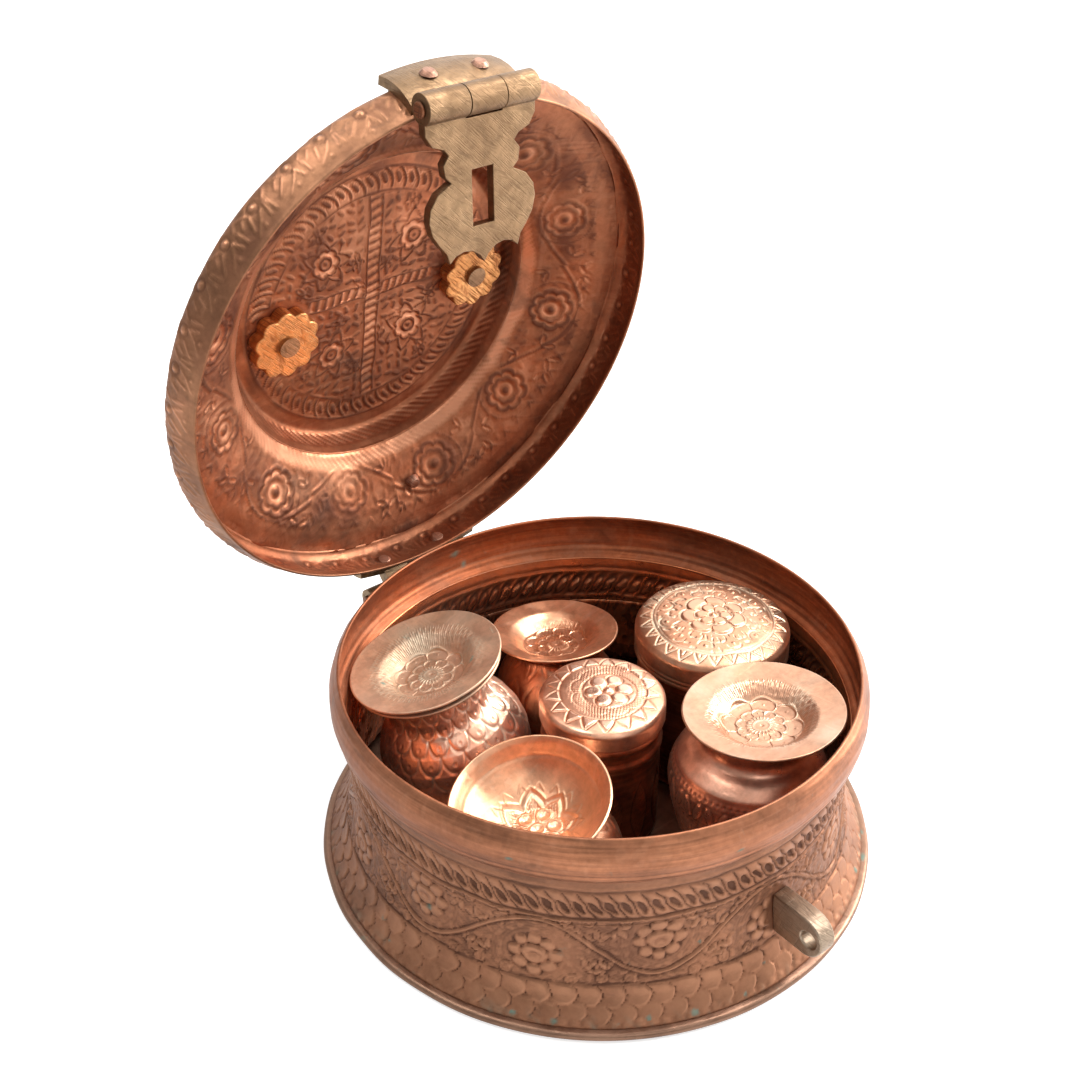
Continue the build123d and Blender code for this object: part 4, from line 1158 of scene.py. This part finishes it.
# ---- the lid ---------------------------------------------------------------------------
shell("lid_skirt", "lid_shell", "lid", "lid_copper", traced(outward(SKIRT_LINE), 0.3), 1000, (0.6, 0.9),
      punched_skirt, lid_place, lip=0.25)
shell("lid_slope", "lid_shell", "lid", "lid_copper", traced(outward(SLOPE_LINE), 0.5), 860, (1.8, 0.72),
      slope_relief, lid_place, lip=0.0, back=0.5)
shell("lid_crown", "lid_shell", "lid", "lid_copper", traced(outward(CROWN_LINE, -1), 0.4), 560, (1.9, 0.70),
      crown_relief, lid_place, lip=0.0, cap=True, back=0.5)

# ---- pots, tins, dishes, bowl and cup -----------------------------------------------------


def globe(r, foot, neck, neck_h, mouth, mouth_h):
    """A round-bellied pot's outside: flat foot, circular belly, a short neck and a flared mouth."""
    high = math.sqrt(r * r - foot * foot)
    a = np.linspace(-math.acos(foot / r), math.acos((neck + 0.6) / r), 30)
    belly = list(zip(r * np.cos(a), high + r * np.sin(a)))
    return [(0, 0)] + belly + [(neck, belly[-1][1] + 1.6), (neck, neck_h), (mouth - 1.2, mouth_h - 1.4),
                               (mouth, mouth_h)]


def dish_line(rim, recess, depth):
    """A dish's outside: a sunk middle that runs out gently into a wide rim."""
    return [(0, 0), (recess - 3.0, 0.15), (recess + 0.5, 0.9), (recess + 3.6, depth * 0.55),
            (recess + 5.6, depth * 0.76), (rim - 1.2, depth - 0.3), (rim, depth)]


def cap_line(r, skirt, dome_high):
    """A cap's outside from the middle of its top down to its rim: a quarter ellipse and a skirt."""
    q = np.linspace(np.pi / 2, 0, 24)
    top = np.c_[(r - 0.7) * np.cos(q), skirt + dome_high * np.sin(q)]
    top[0, 0] = 0
    return top.tolist() + [(r, skirt - 0.8), (r, 0)]


def vessel(name, metal, points, place, around, steps, relief, soft=0.5, slot=None, **more):
    """One loose piece on its own body, named as its node is."""
    shell(name + "_sheet", name, name, metal, traced(points, soft), around, steps, relief, place, slot=slot,
          **more)


def dish(name, metal, points, place, around, steps, relief, lift=0.0, tone=None):
    """A thin dish or saucer, raised to where it lies on its pot."""
    vessel(name, metal, points, place, around, steps, relief, 0.35, lift=lift, wall=DISH_SHEET, tone=tone)


LEFT_POT = globe(27.6, 12.5, 18.2, 55.0, 21.5, 58.4)
BACK_POT = globe(23.6, 12.0, 15.6, 41.0, 19.5, 44.2)
FRONT_POT = globe(26.5, 14.0, 19.8, 42.2, 21.4, 44.2)
RIGHT_POT = [(0, 0), (16, 0), (19.0, 3.0), (21.7, 10), (24.6, 20), (26.8, 29), (27.7, 36), (27.4, 41),
             (25.4, 45.5), (21.5, 48.8), (18.0, 50.6), (16.6, 52.8), (16.6, 56.5), (18.4, 59.2), (20.0, 60.4)]
RIGHT_TIN = [(0, 0), (26.3, 0), (27.3, 1.0), (27.3, 58.2)]
CENTRE_TIN = [(0, 0), (19.7, 0), (20.9, 1.2), (20.9, 38.0), (21.6, 39.0), (21.6, 41.0), (20.9, 42.0),
              (20.9, 45.4), (21.6, 46.4), (21.6, 47.6), (20.9, 48.6), (20.9, 55.2)]
bowl_turn = np.radians(np.linspace(-67, -26, 16))
BOWL = [(0, 0), (9.0, 0), (10.2, 0.9), *zip(28.6 * np.cos(bowl_turn), 27.5 + 28.6 * np.sin(bowl_turn)),
        (27.0, 16.6)]
CUP = [(0, 0), (12.5, 0), (14, 1.2), (16.6, 7), (18, 14), (18.7, 20), (19, 22.6)]

at_left = leaning(LEFT_POT, -28.6, 36.0, 14.0, 145.0)
vessel("pot_left", "pot_left_copper", LEFT_POT, at_left, 400, (0.62, 3.0), scales)
dish("saucer_left", "dish_left_tarnished", dish_line(26.6, 12.6, 6.6), at_left, 180, (1.3, 1.5),
     hammered(0.12, 12, 101), 54.1)
dish("dish_left", "dish_left_tarnished", dish_line(27.6, 12.4, 7.4), at_left, 480, (1.8, 0.38),
     flower_dish(((9, 6.6, 8.6), (8, 11.0, 13.6)), 2.6, (14.2, 21.2), 102), 56.2,
     on_metal((-9, -14, 61, 3.0), (4, 19, 61, 2.6), (-16, 6, 61, 2.2), (12, -12, 61, 2.2), grain=5.0))
at_back = leaning(BACK_POT, 17.2, 41.5, 8.0, 65.0)
vessel("pot_back", "pot_back_copper", BACK_POT, at_back, 260, (0.9, 3.5), leafy(111, 12, 17.0))
dish("dish_back", "dish_back_copper", dish_line(24.2, 12.0, 7.0), at_back, 430, (1.8, 0.40),
     flower_dish(((7, 6.0, 8.2), (9, 10.4, 12.8)), 2.2, (13.2, 14.4), 112, (0.8, -0.5), 0.08, 0.20), 39.5)
at_right = leaning(RIGHT_TIN, 57.4, 1.0)
vessel("tin_right", "tin_right_copper", RIGHT_TIN, at_right, 200, (1.6, 3.4), hammered(0.16, 22, 121))
vessel("tin_right_lid", "tin_cap_copper", cap_line(28.6, 10.6, 4.6), at_right, 560, (0.41, 2.2), sunburst_cap,
       0.4, lift=49.0, cap=True)
at_centre = leaning(CENTRE_TIN, 1.0, -1.5)
vessel("tin_centre", "tin_centre_copper", CENTRE_TIN, at_centre, 270, (0.8, 3.0), ridged_tin, 0.35)
vessel("tin_centre_lid", "centre_cap_copper", cap_line(22.3, 6.6, 2.8), at_centre, 500, (0.40, 2.2),
       toothed_cap, 0.4, "tin_cap_copper", lift=49.6, cap=True)
vessel("pot_right", "pot_right_copper", RIGHT_POT, leaning(RIGHT_POT, 28.4, -47.4), 380, (0.72, 3.0), beans,
       0.7)
dish("dish_right", "dish_right_copper", dish_line(27.4, 13.0, 7.2), askew, 540, (1.6, 0.37),
     flower_dish(((10, 6.8, 8.6), (8, 11.6, 14.6)), 2.9, (15.0, 19.6), 131, (-0.6, 0.4)))
at_front = leaning(FRONT_POT, -39.5, -24.5, 13.0, 185.0)
vessel("pot_front", "pot_front_copper", FRONT_POT, at_front, 300, (0.8, 3.2), leafy(141, 13, 18.0))
vessel("bowl_front", "bowl_copper", BOWL, at_front, 440, (1.4, 0.44), bossed_bowl, lift=37.4)
vessel("cup_front", "cup_copper", CUP, leaning(CUP, -16.6, -62.4), 200, (1.2, 1.6), hammered(0.2, 14, 151))

# ---- fittings kept from the solids ---------------------------------------------------


def eased(name, body, metal, width):
    """A copy of a CAD node with its doubles merged and its sharp edges rounded."""
    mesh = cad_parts[name].data.copy()
    work = bmesh.new()
    work.from_mesh(mesh)
    bmesh.ops.remove_doubles(work, verts=work.verts, dist=1e-6)
    bmesh.ops.dissolve_limit(work, angle_limit=math.radians(1.0), verts=work.verts, edges=work.edges)
    work.to_mesh(mesh)
    work.free()
    smooth(mesh)
    mesh.set_sharp_from_angle(angle=math.radians(50))
    mesh.materials.clear()
    mesh.materials.append(METALS[metal])
    ob = placed(name + "_eased", mesh)
    bevel = ob.modifiers.new("round", "BEVEL")
    bevel.width = width * MM
    bevel.segments = 2
    bevel.limit_method = "ANGLE"
    bevel.angle_limit = math.radians(38)
    bevel.use_clamp_overlap = True
    ridden(ob, body, name)


# each metal's fittings: name, body and how far the edges are rounded; a name that ends in _ is a pair
FITTINGS = {
    "leaf_brass": [("hinge_body_leaf", "drum", 0.4), ("hinge_lid_leaf", "lid", 0.4)],
    "hasp_brass": [("hasp_lid_leaf", "lid", 0.45), ("hasp_plate", "hasp_plate", 0.7)],
    "staple_brass": [("staple", "drum", 0.5), ("staple_washer", "drum", 0.3)],
    "pin_iron": [("hinge_pin", "drum", 0.3), ("hasp_pin", "hasp_pin", 0.4)],
    "handle_brass": [("handle_post_", "lid", 0.4), ("bail_handle", "bail", 0.4)],
    "washer_brass": [("inner_washer_", "lid", 0.5), ("outer_washer_", "lid", 0.4)],
    "rivet_copper": [("body_rivet_", "drum", 0.3), ("lid_rivet_", "lid", 0.3), ("lid_plug_rivet", "lid", 0.3),
                     ("hasp_rivet_", "lid", 0.3)]}
for metal, fittings in FITTINGS.items():
    for name, body, width in fittings:
        for side in ("left", "right") if name.endswith("_") else ("",):
            eased(name + side, body, metal, width)

# ---- floor, light and camera ----------------------------------------------------------


def paper():
    """Pale paper: white to the camera, and in reflections brighter towards the right."""
    tree, shader = begun("studio_paper")
    place = own_coordinates(tree)
    feed(shader.inputs["Base Color"], grey(span(speckle(place, 30.0), 0.3, 0.7, 0.58, 0.61)))
    shader.inputs["Roughness"].default_value = 0.8
    feed(shader.inputs["Emission Color"], (1.0, 1.0, 1.0))
    glossy, clear, direct = (node("LightPath", {}, f"Is {ray} Ray", tree)
                             for ray in ("Glossy", "Transmission", "Camera"))
    across = node("VectorMath", {0: place, 1: (0.8, -0.6, 0.0)}, "Value", operation="DOT_PRODUCT")
    seen = greater(glossy, clear) * span(across, -0.2, 0.5, 0.25, 0.95)
    feed(shader.inputs["Emission Strength"], greater(seen, direct * 0.62))


def floor(across=17):
    """A wide sheet of paper that curves up behind the box: level, a quarter circle and a wall."""
    t = np.linspace(0, np.pi / 2, 40)
    run = np.r_[-3.0, -1.5, np.linspace(-1.0, 1.0, 21), 1.0 + 0.8 * np.sin(t), 1.8]
    rise = np.r_[np.zeros(23), 0.8 - 0.8 * np.cos(t), 3.0]
    x = np.linspace(-4, 4, across)
    p = np.stack(np.broadcast_arrays(x, run[:, None], rise[:, None] - 0.0001), -1).reshape(-1, 3)
    i = np.arange(len(p)).reshape(len(run), across)
    faces = np.stack([i[:-1, :-1], i[:-1, 1:], i[1:, 1:], i[1:, :-1]], -1).reshape(-1, 4)
    mesh = bpy.data.meshes.new("studio_paper")
    mesh.from_pydata(p.tolist(), [], faces.tolist())
    smooth(mesh)
    mesh.materials.append(METALS["studio_paper"])
    mesh.transform(Matrix.Rotation(math.radians(-39.0), 4, "Z"))
    placed("studio_paper", mesh)


def lamp(name, at, towards, size, power):
    """A square soft box aimed at a point."""
    data = bpy.data.lights.new(name, "AREA")
    data.size = size
    data.energy = power
    ob = placed(name, data)
    back = np.subtract(at, towards)
    back = back / np.linalg.norm(back)
    side = np.cross((0, 0, 1), back)
    side = side / np.linalg.norm(side)
    ob.matrix_world = Matrix([*np.c_[side, np.cross(back, side), back, at].tolist(), [0, 0, 0, 1]])


paper()
floor()
scene = bpy.context.scene
world = bpy.data.worlds.new("soft_room")
scene.world = world
world.use_nodes = True
background = world.node_tree.nodes["Background"]
feed(background.inputs[0], (1.0, 1.0, 1.0))
direct = node("LightPath", {}, "Is Camera Ray", world.node_tree)
feed(background.inputs[1], span(direct, 0.0, 1.0, 0.45, 1.0))
lamp("key_box", (-0.6, 0.3, 1.8), (0, 0, 0.10), 0.9, 14.0)
lamp("front_box", (-0.5, -1.3, 1.4), (0, 0, 0.10), 0.9, 5.0)
lamp("right_box", (1.30, -0.60, 0.75), (0, 0, 0.06), 0.8, 36.0)
lamp("top_box", (0.70, -0.15, 1.5), (0, 0.05, 0.10), 0.5, 18.0)
lamp("back_box", (0.66, 0.80, 1.25), (0, 0, 0.06), 1.9, 11.0)

camera_data = bpy.data.cameras.new("camera")
camera_data.lens = 48.905
camera_data.sensor_width = 36.0
camera_data.clip_start = 0.02
camera = placed("camera", camera_data)
RIGHT = (0.77222016, -0.63535084, -0.00231084)
UP = (0.34607369, 0.41757025, 0.84015956)
BACK = (-0.53283115, -0.64958787, 0.54233437)
EYE = (-0.269931, -0.297571, 0.383077)
camera.matrix_world = Matrix([*zip(RIGHT, UP, BACK, EYE), (0, 0, 0, 1)])
scene.camera = camera
scene.view_settings.view_transform = "Standard"
